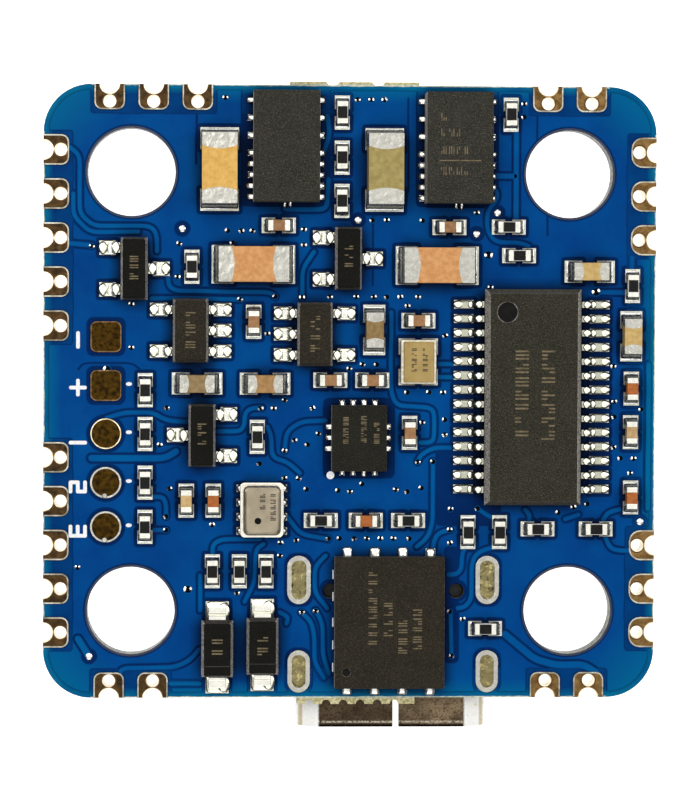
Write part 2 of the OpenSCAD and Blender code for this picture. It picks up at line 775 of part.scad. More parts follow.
module esc_socket_contacts() {
    w = esc_pin_w;
    z = 1.4;
    tail_y = esc_size.y + esc_tail_l;
    color("#d8c890") at_esc_socket() for (i = [0 : esc_pins - 1])
        translate([(i - (esc_pins - 1) / 2) * esc_pitch - w / 2, 0, 0])
            rotate([90, 0, 90]) linear_extrude(w) polygon([
                [0.9, z], [esc_size.y, z], [esc_size.y + 0.15, 0], [tail_y, 0],
                [tail_y, w], [esc_size.y + 0.3, w], [esc_size.y + 0.15, z + w], [0.9, z + w]
            ]);
}

// Bent steel anchors at the socket's two ends, soldered to the board
module esc_socket_anchors() {
    t = 0.2;
    color("#d8d8d4") at_esc_socket() for (side = [-1, 1]) {
        translate([side * (esc_size.x / 2 - t / 2), 1.5, 0]) block([t, 1.6], 1.8);
        translate([side * (esc_size.x / 2 + 0.25), 1.5, 0]) block([0.5, 1.6], t);
    }
}

module at_button() {
    translate([button_at.x, button_at.y, 0]) rotate([180, 0, 90]) children();
}

module boot_button_base() {
    color("#262626") at_button() difference() {
        block(button_size, button_base_h);
        translate([0, 0, button_floor_h]) cylinder(h = button_base_h, r = button_pocket_r);
    }
}

// Stamped steel cover that holds the plunger in
module boot_button_cover() {
    t = button_cover_t;
    skirt = 0.9;
    color("#c6c6c2") at_button() difference() {
        translate([0, 0, button_base_h - skirt])
            block(button_size + 2 * [t, t], button_cover_z + t - button_base_h + skirt);
        translate([0, 0, -eps]) block(button_size, button_base_h + eps);
        translate([0, 0, -eps]) cylinder(h = button_cover_z + eps, r = button_pocket_r);
        cylinder(h = 5, r = button_stem_r + 0.08);
    }
}

// Springy steel dome under the plunger
module boot_button_dome() {
    r = button_pocket_r - 0.08;
    sphere_r = (r * r + button_dome_h * button_dome_h) / (2 * button_dome_h);
    color("#b8b8b4") at_button() translate([0, 0, button_floor_h + button_dome_h - sphere_r])
        rotate_extrude() intersection() {
            difference() {
                circle(sphere_r);
                circle(sphere_r - button_dome_t);
            }
            translate([0, sphere_r - button_dome_h]) square([r, button_dome_h]);
        }
}

module boot_button_plunger() {
    flange_z = button_floor_h + button_dome_h + 0.03;
    color("#e4e0d4") at_button() {
        translate([0, 0, flange_z]) cylinder(h = button_cover_z - flange_z - 0.03, r = button_flange_r);
        translate([0, 0, flange_z]) cylinder(h = button_tip_z - flange_z, r = button_stem_r);
    }
}

module boot_button_terminals() {
    color("#d8d8d4") at_button() for (x = [-1, 1], y = [-1, 1])
        translate([x * (button_size.x / 2 + button_cover_t + 0.3), y * 0.9, 0]) block([0.6, 0.5], 0.12);
}

module status_led_bases() {
    color("#e8e6de") underneath(STATUS_LEDS) translate([0, 0, land_t]) block([size_led.x - 2 * size_led[3], size_led.y], 0.25);
}

module status_led_lenses() {
    color("#d9e6ef") underneath(STATUS_LEDS) translate([0, 0, land_t + 0.25])
        block([size_led.x - 2 * size_led[3], size_led.y - 0.1], size_led.z - 0.25);
}

module status_led_ends() {
    color("#d8c890") underneath(STATUS_LEDS) for (side = [-1, 1])
        translate([side * (size_led.x - size_led[3]) / 2, 0, land_t]) block([size_led[3], size_led.y], 0.25);
}

circuit_board();
edge_pads();
wire_pads();
component_lands();
usb_slot_plating();
usb_slot_solder();
power_module_left();
power_module_right();
power_module_terminals();
osd_chip();
osd_chip_leads();
osd_crystal_base();
osd_crystal_lid();
flash_chip();
flash_chip_terminals();
motion_sensor();
motion_sensor_terminals();
barometer_base();
barometer_lid();
transistors();
transistor_leads();
regulators();
regulator_leads();
diodes();
diode_terminals();
input_capacitor_tan();
input_capacitor_olive();
output_capacitors();
large_capacitor_ends();
filter_capacitors();
filter_capacitor_ends();
small_capacitors();
small_capacitor_ends();
resistor_cores();
resistor_coats();
resistor_ends();
mcu_chip();
mcu_leads();
mcu_crystal_base();
mcu_crystal_lid();
usb_shell();
usb_insulator();
usb_mid_plate();
usb_contacts_upper();
usb_contacts_lower();
esc_socket_housing();
esc_socket_contacts();
esc_socket_anchors();
boot_button_base();
boot_button_cover();
boot_button_dome();
boot_button_plunger();
boot_button_terminals();
status_led_bases();
status_led_lenses();
status_led_ends();
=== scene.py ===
"""Looks of the flight controller board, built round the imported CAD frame. Lengths are in millimetres."""
import functools
import json
import math
import random

import bpy
from mathutils import Matrix, Vector

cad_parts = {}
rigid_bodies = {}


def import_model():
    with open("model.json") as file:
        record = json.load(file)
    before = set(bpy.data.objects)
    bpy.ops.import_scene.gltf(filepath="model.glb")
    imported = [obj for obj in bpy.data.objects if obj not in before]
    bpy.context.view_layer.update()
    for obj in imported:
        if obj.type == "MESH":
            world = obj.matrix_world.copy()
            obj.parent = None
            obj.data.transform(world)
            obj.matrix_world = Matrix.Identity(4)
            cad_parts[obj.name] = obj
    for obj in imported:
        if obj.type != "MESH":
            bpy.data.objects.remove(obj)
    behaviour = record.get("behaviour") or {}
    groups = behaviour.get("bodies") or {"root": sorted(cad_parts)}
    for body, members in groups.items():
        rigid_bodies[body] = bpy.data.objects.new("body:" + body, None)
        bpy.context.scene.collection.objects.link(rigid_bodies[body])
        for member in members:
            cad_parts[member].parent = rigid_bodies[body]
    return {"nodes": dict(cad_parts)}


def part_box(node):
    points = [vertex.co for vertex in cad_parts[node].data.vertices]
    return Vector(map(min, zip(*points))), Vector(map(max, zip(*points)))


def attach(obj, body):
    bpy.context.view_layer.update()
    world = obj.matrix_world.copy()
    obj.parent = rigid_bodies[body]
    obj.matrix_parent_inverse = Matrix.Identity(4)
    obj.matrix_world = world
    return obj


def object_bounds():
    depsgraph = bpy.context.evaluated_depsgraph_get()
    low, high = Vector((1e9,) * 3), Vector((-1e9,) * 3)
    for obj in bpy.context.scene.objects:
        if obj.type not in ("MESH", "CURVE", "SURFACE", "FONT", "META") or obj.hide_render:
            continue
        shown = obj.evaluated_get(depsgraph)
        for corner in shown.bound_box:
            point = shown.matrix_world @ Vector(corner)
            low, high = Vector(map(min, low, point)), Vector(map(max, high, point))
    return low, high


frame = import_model()
cad_lo, cad_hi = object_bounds()
NODES = frame["nodes"]
MM = 0.001
rng = random.Random(28)


# ---------- the frame, in millimetres ----------

def box_mm(node):
    lo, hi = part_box(node)
    return lo / MM, hi / MM


def middle(box):
    return (box[0] + box[1]) / 2


def islands(node):
    """Lowest and highest corner of each separate solid in a CAD node."""
    mesh = NODES[node].data
    key = [tuple(round(c * 1e7) for c in v.co) for v in mesh.vertices]
    parent = {}

    def root(k):
        while parent.setdefault(k, k) != k:
            parent[k] = parent[parent[k]]
            k = parent[k]
        return k

    for face in mesh.polygons:
        first = root(key[face.vertices[0]])
        for v in face.vertices[1:]:
            parent[root(key[v])] = first
    found = {}
    for face in mesh.polygons:
        corners = found.setdefault(root(key[face.vertices[0]]), [])
        corners += [mesh.vertices[v].co / MM for v in face.vertices]
    return [(Vector(map(min, *corners)), Vector(map(max, *corners))) for corners in found.values()]


def on_face(boxes, upper):
    """The boxes that lie on one face of the board."""
    return [b for b in boxes if (middle(b).z > TOP / 2) == upper]


TOP = box_mm("circuit_board")[1].z              # the board's upper face; the lower one is at 0
PADS = islands("edge_pads")
LANDS = islands("component_lands")
SLOTS = islands("usb_slot_plating")
WIRE_PADS = islands("wire_pads")
HALF = max(hi.x for lo, hi in PADS)             # half the board's width, where the edge pads end
COPPER = box_mm("wire_pads")[1].z - TOP         # how far copper stands above the board
FILM = 0.026                                    # copper with mask over it, above bare laminate with mask
CORNER_R = 2.2                                  # radius of the board's corners
HOLE_AT, HOLE_R = 10.0, 2.0
HOLES = [(x, y) for x in (-HOLE_AT, HOLE_AT) for y in (-HOLE_AT, HOLE_AT)]
PEG_Y, PEG_OFF = -9.1, 2.89                     # holes of the connector's pegs, to both sides of its middle
PEGS = [(middle(box_mm("usb_shell")).x + side * PEG_OFF, PEG_Y) for side in (-1, 1)]
NOTCH_R, PAD_HOLE_R, PAD_HOLE_IN = 0.44, 0.28, 0.79
PAD_CORNER_R, RIGHT_PAD_CORNER_R = 0.34, 0.52
BETWEEN_PADS = 1.34                             # depth of the strips between the edge pads


# ---------- mesh building ----------

def level(outline, z):
    return [(x, y, z) for x, y in outline]


class Shape:
    """Closed solids gathered into one mesh."""

    def __init__(self):
        self.verts, self.faces = [], []

    def loft(self, rings):
        """A solid through rings of points, all of one length, in rising or falling order."""
        if rings[0][0][2] > rings[-1][0][2]:
            rings = rings[::-1]
        start, n, last = len(self.verts), len(rings[0]), len(rings) - 1
        self.verts += [p for ring in rings for p in ring]
        self.faces.append([start + i for i in reversed(range(n))])
        for k in range(last):
            a, b = start + k * n, start + (k + 1) * n
            self.faces += [[a + i, a + (i + 1) % n, b + (i + 1) % n, b + i] for i in range(n)]
        self.faces.append([start + last * n + i for i in range(n)])

    def prism(self, outline, z0, z1, bevel=0.0):
        """An upright solid; with a bevel its top edge is broken by that much."""
        rings = [level(outline, z0)]
        if bevel:
            rings.append(level(outline, z1 - bevel))
            outline = inset(outline, bevel)
        self.loft(rings + [level(outline, z1)])

    def ring(self, outer, inner, z0, z1, fall=0.0, closed=True):
        """A band with four sides between two outlines of as many points; its top falls outwards by fall."""
        start, n = len(self.verts), len(outer)
        for (x, y), (u, v) in zip(outer, inner):
            self.verts += [(x, y, z0), (x, y, z1 - fall), (u, v, z1), (u, v, z0)]
        for k in range(n if closed else n - 1):
            a, b = start + 4 * k, start + 4 * ((k + 1) % n)
            self.faces += [[a + j, b + j, b + (j + 1) % 4, a + (j + 1) % 4] for j in range(4)]
        if not closed:
            last = start + 4 * n - 1
            self.faces += [[start + j for j in range(4)], [last - j for j in range(4)]]

    def mound(self, outline, z0, height, power=1.0, steps=5):
        """A dome over an outline, up or down."""
        cx, cy = (sum(c) / len(outline) for c in zip(*outline))
        rings = []
        for k in range(steps + 1):
            a = k / steps * math.pi / 2
            wide = max(math.cos(a) ** power, 0.04)
            ring = [(cx + (x - cx) * wide, cy + (y - cy) * wide) for x, y in outline]
            rings.append(level(ring, z0 + height * math.sin(a)))
        self.loft(rings)


def leftward(v):
    return Vector((-v.y, v.x)).normalized()


def inset(outline, by):
    """A closed outline (anticlockwise) drawn in by a distance."""
    n, out = len(outline), []
    for i in range(n):
        p, c, q = (Vector(outline[j % n]) for j in (i - 1, i, i + 1))
        if min((c - p).length, (q - c).length) < 1e-6:
            out.append(tuple(c))
            continue
        m = leftward(c - p) + leftward(q - c)
        m = m / max(m.length_squared, 0.4) * 2 * by if m.length > 1e-6 else leftward(c - p) * by
        out.append((c.x + m.x, c.y + m.y))
    return out


def arc(cx, cy, r, a0, a1, steps=6):
    turns = [math.radians(a0 + (a1 - a0) * k / steps) for k in range(steps + 1)]
    return [(cx + r * math.cos(a), cy + r * math.sin(a)) for a in turns]


def circle(x, y, r, steps=24):
    return arc(x, y, r, 0, 360, steps)[:-1]


def round_box(lo, hi, r, steps=4):
    """Outline of a rectangle with round corners, anticlockwise."""
    r = min(r, (hi[0] - lo[0]) / 2 - 1e-4, (hi[1] - lo[1]) / 2 - 1e-4)
    x0, y0, x1, y1 = lo[0] + r, lo[1] + r, hi[0] - r, hi[1] - r
    corners = (x1, y0, -90), (x1, y1, 0), (x0, y1, 90), (x0, y0, 180)
    return [p for x, y, a in corners for p in arc(x, y, r, a, a + 90, steps)]


def block(x, y, half_x, half_y, r, steps=4):
    """The same, given by its middle and its half sizes."""
    return round_box((x - half_x, y - half_y), (x + half_x, y + half_y), r, steps)


def grown(box, by):
    return [(box[0][0] - by, box[0][1] - by), (box[1][0] + by, box[1][1] + by)]


def upright(outline):
    """The same outline, anticlockwise."""
    area = sum(a[0] * b[1] - b[0] * a[1] for a, b in zip(outline, outline[1:] + outline[:1]))
    return outline if area > 0 else outline[::-1]


def bent(points, r=0.35, steps=4):
    """A polyline with its corners rounded."""
    points = [Vector(p) for p in points]
    out = [points[0]]
    for p, c, q in zip(points, points[1:], points[2:]):
        a, b = (c + (e - c).normalized() * min(r, (e - c).length / 2) for e in (p, q))
        out += [a.lerp(c, t).lerp(c.lerp(b, t), t) for t in (k / steps for k in range(steps + 1))]
    out.append(points[-1])
    return [q for k, q in enumerate(out) if k == 0 or (q - out[k - 1]).length > 1e-5]


def clear_of(p, points, reach):
    """Whether a point keeps that distance from a polyline."""
    for a, b in zip(points, points[1:]):
        t = max(0, min(1, (p - a).dot(b - a) / (b - a).length_squared))
        if (p - a.lerp(b, t)).length < reach:
            return False
    return True


def ribbon(points, half, flare=0.0):
    """Outline of a strip along a polyline, with round ends, anticlockwise, and the one widened by flare."""
    points = [Vector(p) for p in points]
    sides = {1: [], -1: []}
    for i, c in enumerate(points):
        before = (c - points[i - 1]).normalized() if i else None
        after = (points[i + 1] - c).normalized() if i + 1 < len(points) else None
        d = (before + after).normalized() if before and after else (before or after)
        slant = 1 / max(0.5, d.dot(after or before))
        for sign, side in sides.items():
            out = Vector((-d.y, d.x)) * slant * sign
            near, far = c + out * half, c + out * (half + flare)
            if clear_of(near, points, half * 0.97) and clear_of(far, points, (half + flare) * 0.97):
                side.append((tuple(near), tuple(far)))
    first = math.degrees(math.atan2(*(points[1] - points[0]).yx))
    last = math.degrees(math.atan2(*(points[-1] - points[-2]).yx))
    outlines = []
    for k, r in enumerate((half, half + flare)):
        start_cap = arc(*points[0], r, first + 90, first + 270)[1:-1]
        end_cap = arc(*points[-1], r, last - 90, last + 90)[1:-1]
        outlines.append([q[k] for q in sides[-1]] + end_cap + [q[k] for q in sides[1][::-1]] + start_cap)
    return outlines if flare else outlines[0]


def mesh_of(name, verts, faces):
    mesh = bpy.data.meshes.new(name)
    mesh.from_pydata([Vector(v) * MM for v in verts], [], faces)
    return mesh


def piece(name, shape, material, smooth=False, crease=None):
    """Makes a shape into an object that rides on the board; edges sharper than crease degrees stay sharp."""
    mesh = mesh_of(name, shape.verts, shape.faces)
    mesh.update()
    if smooth:
        mesh.polygons.foreach_set("use_smooth", [True] * len(mesh.polygons))
        if crease:
            mesh.set_sharp_from_angle(angle=math.radians(crease))
    obj = bpy.data.objects.new(name, mesh)
    bpy.context.scene.collection.objects.link(obj)
    mesh.materials.append(material)
    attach(obj, "board")
    return obj


# ---------- materials ----------

def srgb(r, g, b):
    """A colour given as it looks on screen, 0 to 255, as the linear values that shaders use."""
    screen = (r / 255, g / 255, b / 255)
    return tuple(c / 12.92 if c <= 0.04045 else ((c + 0.055) / 1.055) ** 2.4 for c in screen) + (1,)


def scaled(colour, k):
    """A screen colour as linear values, k times as bright."""
    return tuple(c * k for c in srgb(*colour)[:3]) + (1,)


def fill_ramp(ramp, stops):
    """Sets a colour ramp; each stop is a place and a number, a screen colour or four linear values."""
    while len(ramp.elements) < len(stops):
        ramp.elements.new(0.5)
    for e, (at, shade) in zip(ramp.elements, stops):
        e.position = at
        if isinstance(shade, tuple):
            e.color = srgb(*shade) if len(shade) == 3 else shade
        else:
            e.color = (shade, shade, shade, 1)


class Nodes:
    """A small helper that builds one node material; screen colours are tuples of three."""

    def __init__(self, name):
        self.material = bpy.data.materials.new(name)
        self.material.use_nodes = True
        self.tree = self.material.node_tree
        self.shader = self.tree.nodes["Principled BSDF"]
        self.place = self.node("TexCoord").outputs["Object"]

    def feed(self, value, socket):
        """Links a socket to the one that feeds it, or sets it to a value."""
        if isinstance(value, bpy.types.NodeSocket):
            self.tree.links.new(value, socket)
        else:
            socket.default_value = srgb(*value) if isinstance(value, tuple) and len(value) == 3 else value

    def node(self, kind, **inputs):
        n = self.tree.nodes.new("ShaderNode" + kind)
        for key, value in inputs.items():
            self.feed(value, n.inputs[key])
        return n

    def noise(self, size, detail=3.0, rough=0.55):
        """Noise whose lumps are about size millimetres across."""
        scale = 1 / (size * MM)
        n = self.node("TexNoise", Vector=self.place, Scale=scale, Detail=detail, Roughness=rough)
        return n.outputs["Fac"]

    def ramp(self, value, stops, span=None):
        """Levels or colours by value; with a span the value is a length, and 1 is that many millimetres."""
        n = self.node("ValToRGB", Fac=self.times(value, 1 / (span * MM)) if span else value)
        fill_ramp(n.color_ramp, stops)
        return n.outputs["Color"]

    def tone(self, grain, dark, light, low=0.35, high=0.65):
        return self.ramp(grain, [(low, dark), (high, light)])

    def mix(self, fac, a, b):
        n = self.node("Mix")
        n.data_type = "RGBA"
        for value, k in ((fac, 0), (a, 6), (b, 7)):
            self.feed(value, n.inputs[k])
        return n.outputs[2]

    def maths(self, kind, a, b=0.0):
        n = self.node("Math")
        n.operation = kind
        self.feed(a, n.inputs[0])
        self.feed(b, n.inputs[1])
        return n.outputs[0]

    def painted_shade(self, reach, low, high):
        """0 in corners that other surfaces close in on within reach millimetres, 1 in the open; used to
        paint shade into colours.
        """
        n = self.node("AmbientOcclusion", Distance=reach * MM)
        n.samples = 8
        return self.ramp(n.outputs["AO"], [(low, 0.0), (high, 1.0)])

    def axes(self, source):
        return self.node("SeparateXYZ", Vector=source).outputs

    def facing(self, normal="True Normal"):
        return self.axes(self.node("NewGeometry").outputs[normal])

    def set(self, **values):
        for key, value in values.items():
            self.feed(value, self.shader.inputs[key.replace("_", " ")])

    def finish(self, colour, gloss, rough, grain, depth, **values):
        """Colour, roughness that wanders between two values, a bump of that depth, and other settings."""
        self.set(Base_Color=colour, Roughness=self.tone(self.noise(*gloss), *rough, 0.3, 0.7), **values)
        if depth:
            bump = self.node("Bump", Distance=depth * MM, Strength=1.0, Height=self.noise(*grain))
            self.set(Normal=bump.outputs["Normal"])
        return self.material


for verb, kind in (("times", "MULTIPLY"), ("plus", "ADD"), ("minus", "SUBTRACT"), ("most", "MAXIMUM"),
                   ("least", "MINIMUM"), ("over", "GREATER_THAN"), ("under", "LESS_THAN"),
                   ("size", "ABSOLUTE"), ("root", "SQRT")):
    setattr(Nodes, verb, functools.partialmethod(Nodes.maths, kind))


def plain(name, dark, light, size, rough, metallic=0.0, depth=0.0, grain=0.05, coat=0.0, specular=0.5):
    """A mottled material: two tones of one colour, uneven gloss and a fine bump."""
    m = Nodes(name)
    return m.finish(m.tone(m.noise(size), dark, light), (size * 0.6, 2), rough, (grain, 4), depth,
                    Metallic=metallic, Coat_Weight=coat, Coat_Roughness=0.15, Specular_IOR_Level=specular)


NAVY, NAVY_LIGHT = (0, 32, 84), (0, 44, 100)    # mask over laminate with no copper
GAP_SHADE = (2, 6, 18)                              # painted shade: near-black that the mask takes in the gaps between parts
GAP_SHADE_REACH = 0.7, 0.4, 0.97                          # reach and levels of that painted shade: how near the parts stand there
MASK_FINISH = (0.4, 2), (0.2, 0.3), (0.35, 3), 0.004
MASK_SPECULAR = 0.02


def mask_material(name, dark, light, edge_tone):
    """Solder mask over copper: paler towards corners and sides, navy down the copper's edge, and near-black
    painted shade in the gaps between parts.
    """
    m = Nodes(name)
    x, y, z = m.axes(m.place)
    corner = m.ramp(m.root(m.plus(m.times(x, x), m.times(y, y))), [(0.82, 0.0), (0.93, 1.0)], 20)
    side = m.ramp(m.most(m.size(x), m.size(y)), [(0.94, 0.0), (0.975, 0.75)], HALF)
    half = TOP / 2 * MM
    film = m.ramp(m.minus(m.size(m.minus(z, half)), half), [(0.2, 0.0), (0.98, 1.0)], FILM)
    tone = m.mix(m.most(corner, side), m.tone(m.noise(2.5), dark, light, 0.3, 0.7), edge_tone)
    # painted shade: the mask turns near-black where other parts stand close
    tone = m.mix(m.painted_shade(*GAP_SHADE_REACH), GAP_SHADE, m.mix(film, NAVY_LIGHT, tone))
    return m.finish(tone, *MASK_FINISH, Specular_IOR_Level=MASK_SPECULAR)


def board_material():
    """Navy mask, a teal glow along the outline, bare laminate at edges, walls and stubs, and near-black
    painted shade in the gaps between parts.
    """
    m = Nodes("board_laminate")
    x, y, z = m.axes(m.place)
    over = [m.most(m.minus(m.size(v), (HALF - CORNER_R) * MM), 0.0) for v in (x, y)]
    reach = m.root(m.plus(m.times(over[0], over[0]), m.times(over[1], over[1])))
    inward = m.minus(CORNER_R * MM, reach)      # depth in from the board's outline
    navy = m.tone(m.noise(3.0), NAVY, NAVY_LIGHT, 0.3, 0.7)
    strips = m.over(m.most(m.size(x), m.size(y)), (HALF - BETWEEN_PADS) * MM)
    navy = m.mix(strips, navy, m.tone(m.noise(1.0), (0, 50, 108), (0, 64, 124), 0.3, 0.7))
    rim = m.ramp(inward, [(0.25, 1.0), (0.9, 0.0)], 0.5)
    mask = m.mix(rim, navy, m.tone(m.noise(1.5), (0, 84, 132), (4, 108, 146), 0.3, 0.7))
    ragged = m.plus(inward, m.times(m.noise(0.5), 0.09 * MM))
    straight = m.under(m.least(over[0], over[1]), 0.02 * MM)
    cream = m.times(m.under(ragged, 0.1 * MM), straight)
    mask = m.mix(cream, mask, m.tone(m.noise(0.2), (150, 170, 160), (226, 226, 200)))
    # painted shade: the mask turns near-black where other parts stand close
    mask = m.mix(m.painted_shade(*GAP_SHADE_REACH), GAP_SHADE, mask)
    stub = m.over(m.size(y), (HALF + 0.03) * MM)
    bare = m.tone(m.noise(0.12, 4), (150, 140, 92), (222, 214, 170))
    wall = m.under(m.size(m.facing()[2]), 0.5)
    glass = m.tone(m.noise(0.25), (58, 62, 52), (150, 146, 122))
    tone = m.mix(wall, m.mix(stub, mask, bare), glass)
    return m.finish(tone, *MASK_FINISH, Specular_IOR_Level=MASK_SPECULAR)


def moulding(name, base, fleck, flecks=0.5, rough=(0.5, 0.68), sheen_slope=0.5, flash=0.8):
    """Filled moulding compound; sides steeper than the given slope (1 is level) carry a pale, speckled
    painted highlight of the given strength, strongest on those facing left or right.
    """
    m = Nodes(name)
    tone = m.tone(m.noise(1.2, 4), base, scaled(base, 1.35), 0.3, 0.75)
    specks = m.tone(m.noise(0.055, 3, 0.7), 0.0, flecks, 0.52, 0.66)
    pits = m.tone(m.noise(0.07, 2), 0.55, 0.0, 0.3, 0.5)
    tone = m.mix(pits, m.mix(specks, tone, fleck), (0.008, 0.008, 0.008, 1))
    facing = m.facing()
    slope = m.under(m.size(facing[2]), sheen_slope)
    sideways = m.tone(m.size(facing[0]), 0.15, 1.0, 0.1, 0.25)
    side_sheen = m.tone(m.noise(0.08, 4, 0.7), 0.1, flash, 0.42, 0.6)
    # painted highlight: pale speckled sheen on the steep sides, most on those facing left or right
    tone = m.mix(m.times(m.times(slope, sideways), side_sheen), tone, (214, 208, 200))
    return m.finish(tone, (0.3, 2), rough, (0.06, 4), 0.008, Specular_IOR_Level=0.03)


def bright_metal(name, base, rough, lump, depth, slope_shade=1.0, shade_reach=(0.12, 0.1, 0.5), frost=0.0):
    """Tinned metal with soft lumps: slopes, and corners near other parts, are darkened to the given share of
    its colour as painted shade, and frost of it is matt.
    """
    m = Nodes(name)
    tone = m.tone(m.noise(0.4, 2), scaled(base, 0.86), base, 0.3, 0.7)
    # painted shade: slopes and close corners keep only a share of the colour, for dark reflections and shade
    if slope_shade < 1:
        flat = m.tone(m.size(m.facing("Normal")[2]), 0.0, 1.0, 0.72, 0.86)
        tone = m.mix(m.times(flat, m.painted_shade(*shade_reach)), scaled(base, slope_shade), tone)
    metallic = m.tone(m.noise(0.13, 3, 0.6), 1.0, 1.0 - frost, 0.42, 0.58) if frost else 1.0
    return m.finish(tone, (0.2, 2), rough, (lump, 2, 0.4), depth, Metallic=metallic)


def brushed(name, dark, light, rough=(0.25, 0.42)):
    """Plated sheet metal with fine scratches."""
    m = Nodes(name)
    tone = m.tone(m.noise(0.9, 4), dark, light, 0.3, 0.7)
    return m.finish(tone, (0.15, 3), rough, (0.08, 4), 0.006, Metallic=1.0)


def shell_steel():
    """The connector's shell: stained steel, darker towards its left end, with a near-white painted highlight
    at its rounded sides and a painted shade and highlight at its front lip.
    """
    m = Nodes("usb_steel")
    lo, hi = box_mm("usb_shell")
    wide = hi.x - lo.x
    x, y, z = m.axes(m.place)
    # the shell darkens towards its left end
    left_darkening = m.ramp(m.minus(x, lo.x * MM), [(0.45, 1.0), (0.72, 0.3)], wide)
    tone = m.tone(m.noise(0.9, 4), (84, 69, 52), (150, 130, 102), 0.3, 0.7)
    tone = m.mix(m.times(left_darkening, 0.75), tone, (38, 30, 23))
    tone = m.mix(m.tone(m.noise(0.1, 4, 0.7), 0.0, 0.8, 0.5, 0.6), tone, (36, 27, 20))
    off = m.size(m.minus(x, (lo.x + hi.x) / 2 * MM))
    # painted highlight: past this line the rounded sides turn near white and lose their metal, with a tan
    # line along the fold
    side = m.ramp(off, [(0.745, 0.0), (0.765, 1.0)], wide / 2)
    fold = m.ramp(off, [(0.91, 0.0), (0.925, 1.0), (0.95, 1.0), (0.97, 0.0)], wide / 2)
    bright = m.tone(m.noise(0.3, 3, 0.6), (236, 226, 190), (255, 254, 250), 0.25, 0.42)
    bright = m.mix(fold, bright, (196, 182, 142))
    front = m.minus(y, lo.y * MM)               # depth in from the mouth
    # painted shade along the front lip, and a painted highlight on the roll just behind it
    lip = m.ramp(front, [(0.1, 1.0), (0.13, 0.0)], 1)
    roll = m.ramp(front, [(0.17, 0.0), (0.2, 1.0), (0.26, 1.0), (0.29, 0.0)], 1)
    roll = m.times(roll, m.tone(m.noise(0.12), 0.0, 0.7, 0.4, 0.55))
    tone = m.mix(lip, m.mix(roll, tone, (196, 186, 164)), (16, 12, 9))
    return m.finish(m.mix(side, tone, bright), (0.15, 3), (0.16, 0.34), (0.08, 4), 0.008,
                    Metallic=m.tone(side, 1.0, 0.0, 0.0, 1.0))


def edge_gold():
    """The gold finish of the edge pads, paler along the right edge than along the left: a painted sheen."""
    m = Nodes("gold_finish_edge")
    x = m.axes(m.place)[0]
    # painted sheen: the finish turns paler towards the right edge
    right = m.tone(m.plus(m.times(x, 0.5 / (HALF * MM)), 0.5), 0.0, 1.0, 0.25, 0.9)
    grain = m.noise(0.3, 4)
    tone = m.mix(right, m.tone(grain, (40, 27, 9), (86, 62, 30)),
                 m.tone(grain, (90, 65, 28), (140, 108, 62)))
    return m.finish(tone, (0.13, 2), (0.35, 0.6), (0.09, 4), 0.008, Metallic=0.8)


def ceramic(name, dark, light, *areas):
    """Fired dielectric with faint grain; its tones differ in areas (x0, x1, y0, y1, dark, light)."""
    m = Nodes(name)
    x, y, z = m.axes(m.place)
    grain = m.noise(0.22)
    tone = m.tone(grain, dark, light)
    for x0, x1, y0, y1, dark, light in areas:
        inside = 1.0
        for value, low, high in ((x, x0, x1), (y, y0, y1)):
            inside = m.times(inside, m.times(m.over(value, low * MM), m.under(value, high * MM)))
        tone = m.mix(inside, tone, m.tone(grain, dark, light))
    return m.finish(tone, (0.13, 2), (0.32, 0.45), (0.05, 4), 0.004,
                    Coat_Weight=0.06, Coat_Roughness=0.15, Specular_IOR_Level=0.2)


MASK_POUR = mask_material("mask_over_copper", (0, 60, 128), (0, 75, 142), (0, 94, 142))
MASK_TRACK = mask_material("mask_over_track", (0, 74, 140), (0, 90, 152), (0, 104, 148))
# the next two: paler gold for rims that are painted highlights on pad edges; the second also lines the edge
# pads' openings
GOLD_RIM_HIGHLIGHT = plain("gold_finish_soft", (84, 62, 34), (138, 110, 72), 0.2, (0.35, 0.6), 0.7)
PALE_GOLD_AND_HIGHLIGHT = plain("gold_finish_rim", (196, 170, 120), (250, 238, 205), 0.3, (0.2, 0.35), 1.0, 0.006, 0.1)
GOLD_BROWN = plain("gold_finish_brown", (64, 36, 14), (96, 60, 28), 0.2, (0.4, 0.6), 0.6)
# pale grey rims that stand for the highlights on the pads' rounded edges: painted highlight
PAD_RIM_HIGHLIGHT = plain("pad_rim", (128, 122, 104), (216, 212, 196), 0.45, (0.2, 0.4), 0.6, 0.006, 0.1)
SOLDER = bright_metal("solder", (246, 246, 240), (0.1, 0.2), 0.32, 0.026, 0.2, frost=0.4)
BEAD = bright_metal("solder_bead", (252, 251, 232), (0.2, 0.3), 0.3, 0.006, 0.3)
TIN = bright_metal("tin", (186, 184, 174), (0.2, 0.36), 0.26, 0.03)
ETCH = plain("etched_mark", (94, 84, 64), (132, 118, 92), 0.2, (0.6, 0.75), specular=0.05)
INK = plain("white_ink", (232, 236, 240), (252, 252, 252), 0.15, (0.5, 0.65), 0.0, 0.01, 0.06)
DARK_INK = plain("dark_ink", (30, 24, 18), (60, 48, 34), 0.15, (0.5, 0.7))
# near-black discs over via mouths: painted shade
VIA_SHADE = plain("via_hole_shade", (2, 4, 10), (6, 12, 26), 0.1, (0.4, 0.6), specular=0.02)
# near-white mirror strip for the shell's seam: painted highlight
SEAM_HIGHLIGHT = plain("seam_highlight", (250, 248, 236), (255, 255, 250), 0.3, (0.06, 0.12), 1.0)
LINE_GREY = plain("line_grey", (40, 40, 36), (66, 64, 58), 0.2, (0.6, 0.75), specular=0.1)
# dark floors of pin marks, and painted shade inside the sensor's vent
PIN_MARK_AND_VENT_SHADE = plain("pin_one_floor", (8, 8, 7), (22, 21, 19), 0.3, (0.3, 0.45), 0.0, 0.004, 0.1, specular=0.08)
RIM_DARK = plain("drilled_rim", (8, 20, 44), (22, 44, 78), 0.3, (0.3, 0.5))
ALL = -20, 20                                   # a range that takes in the whole board

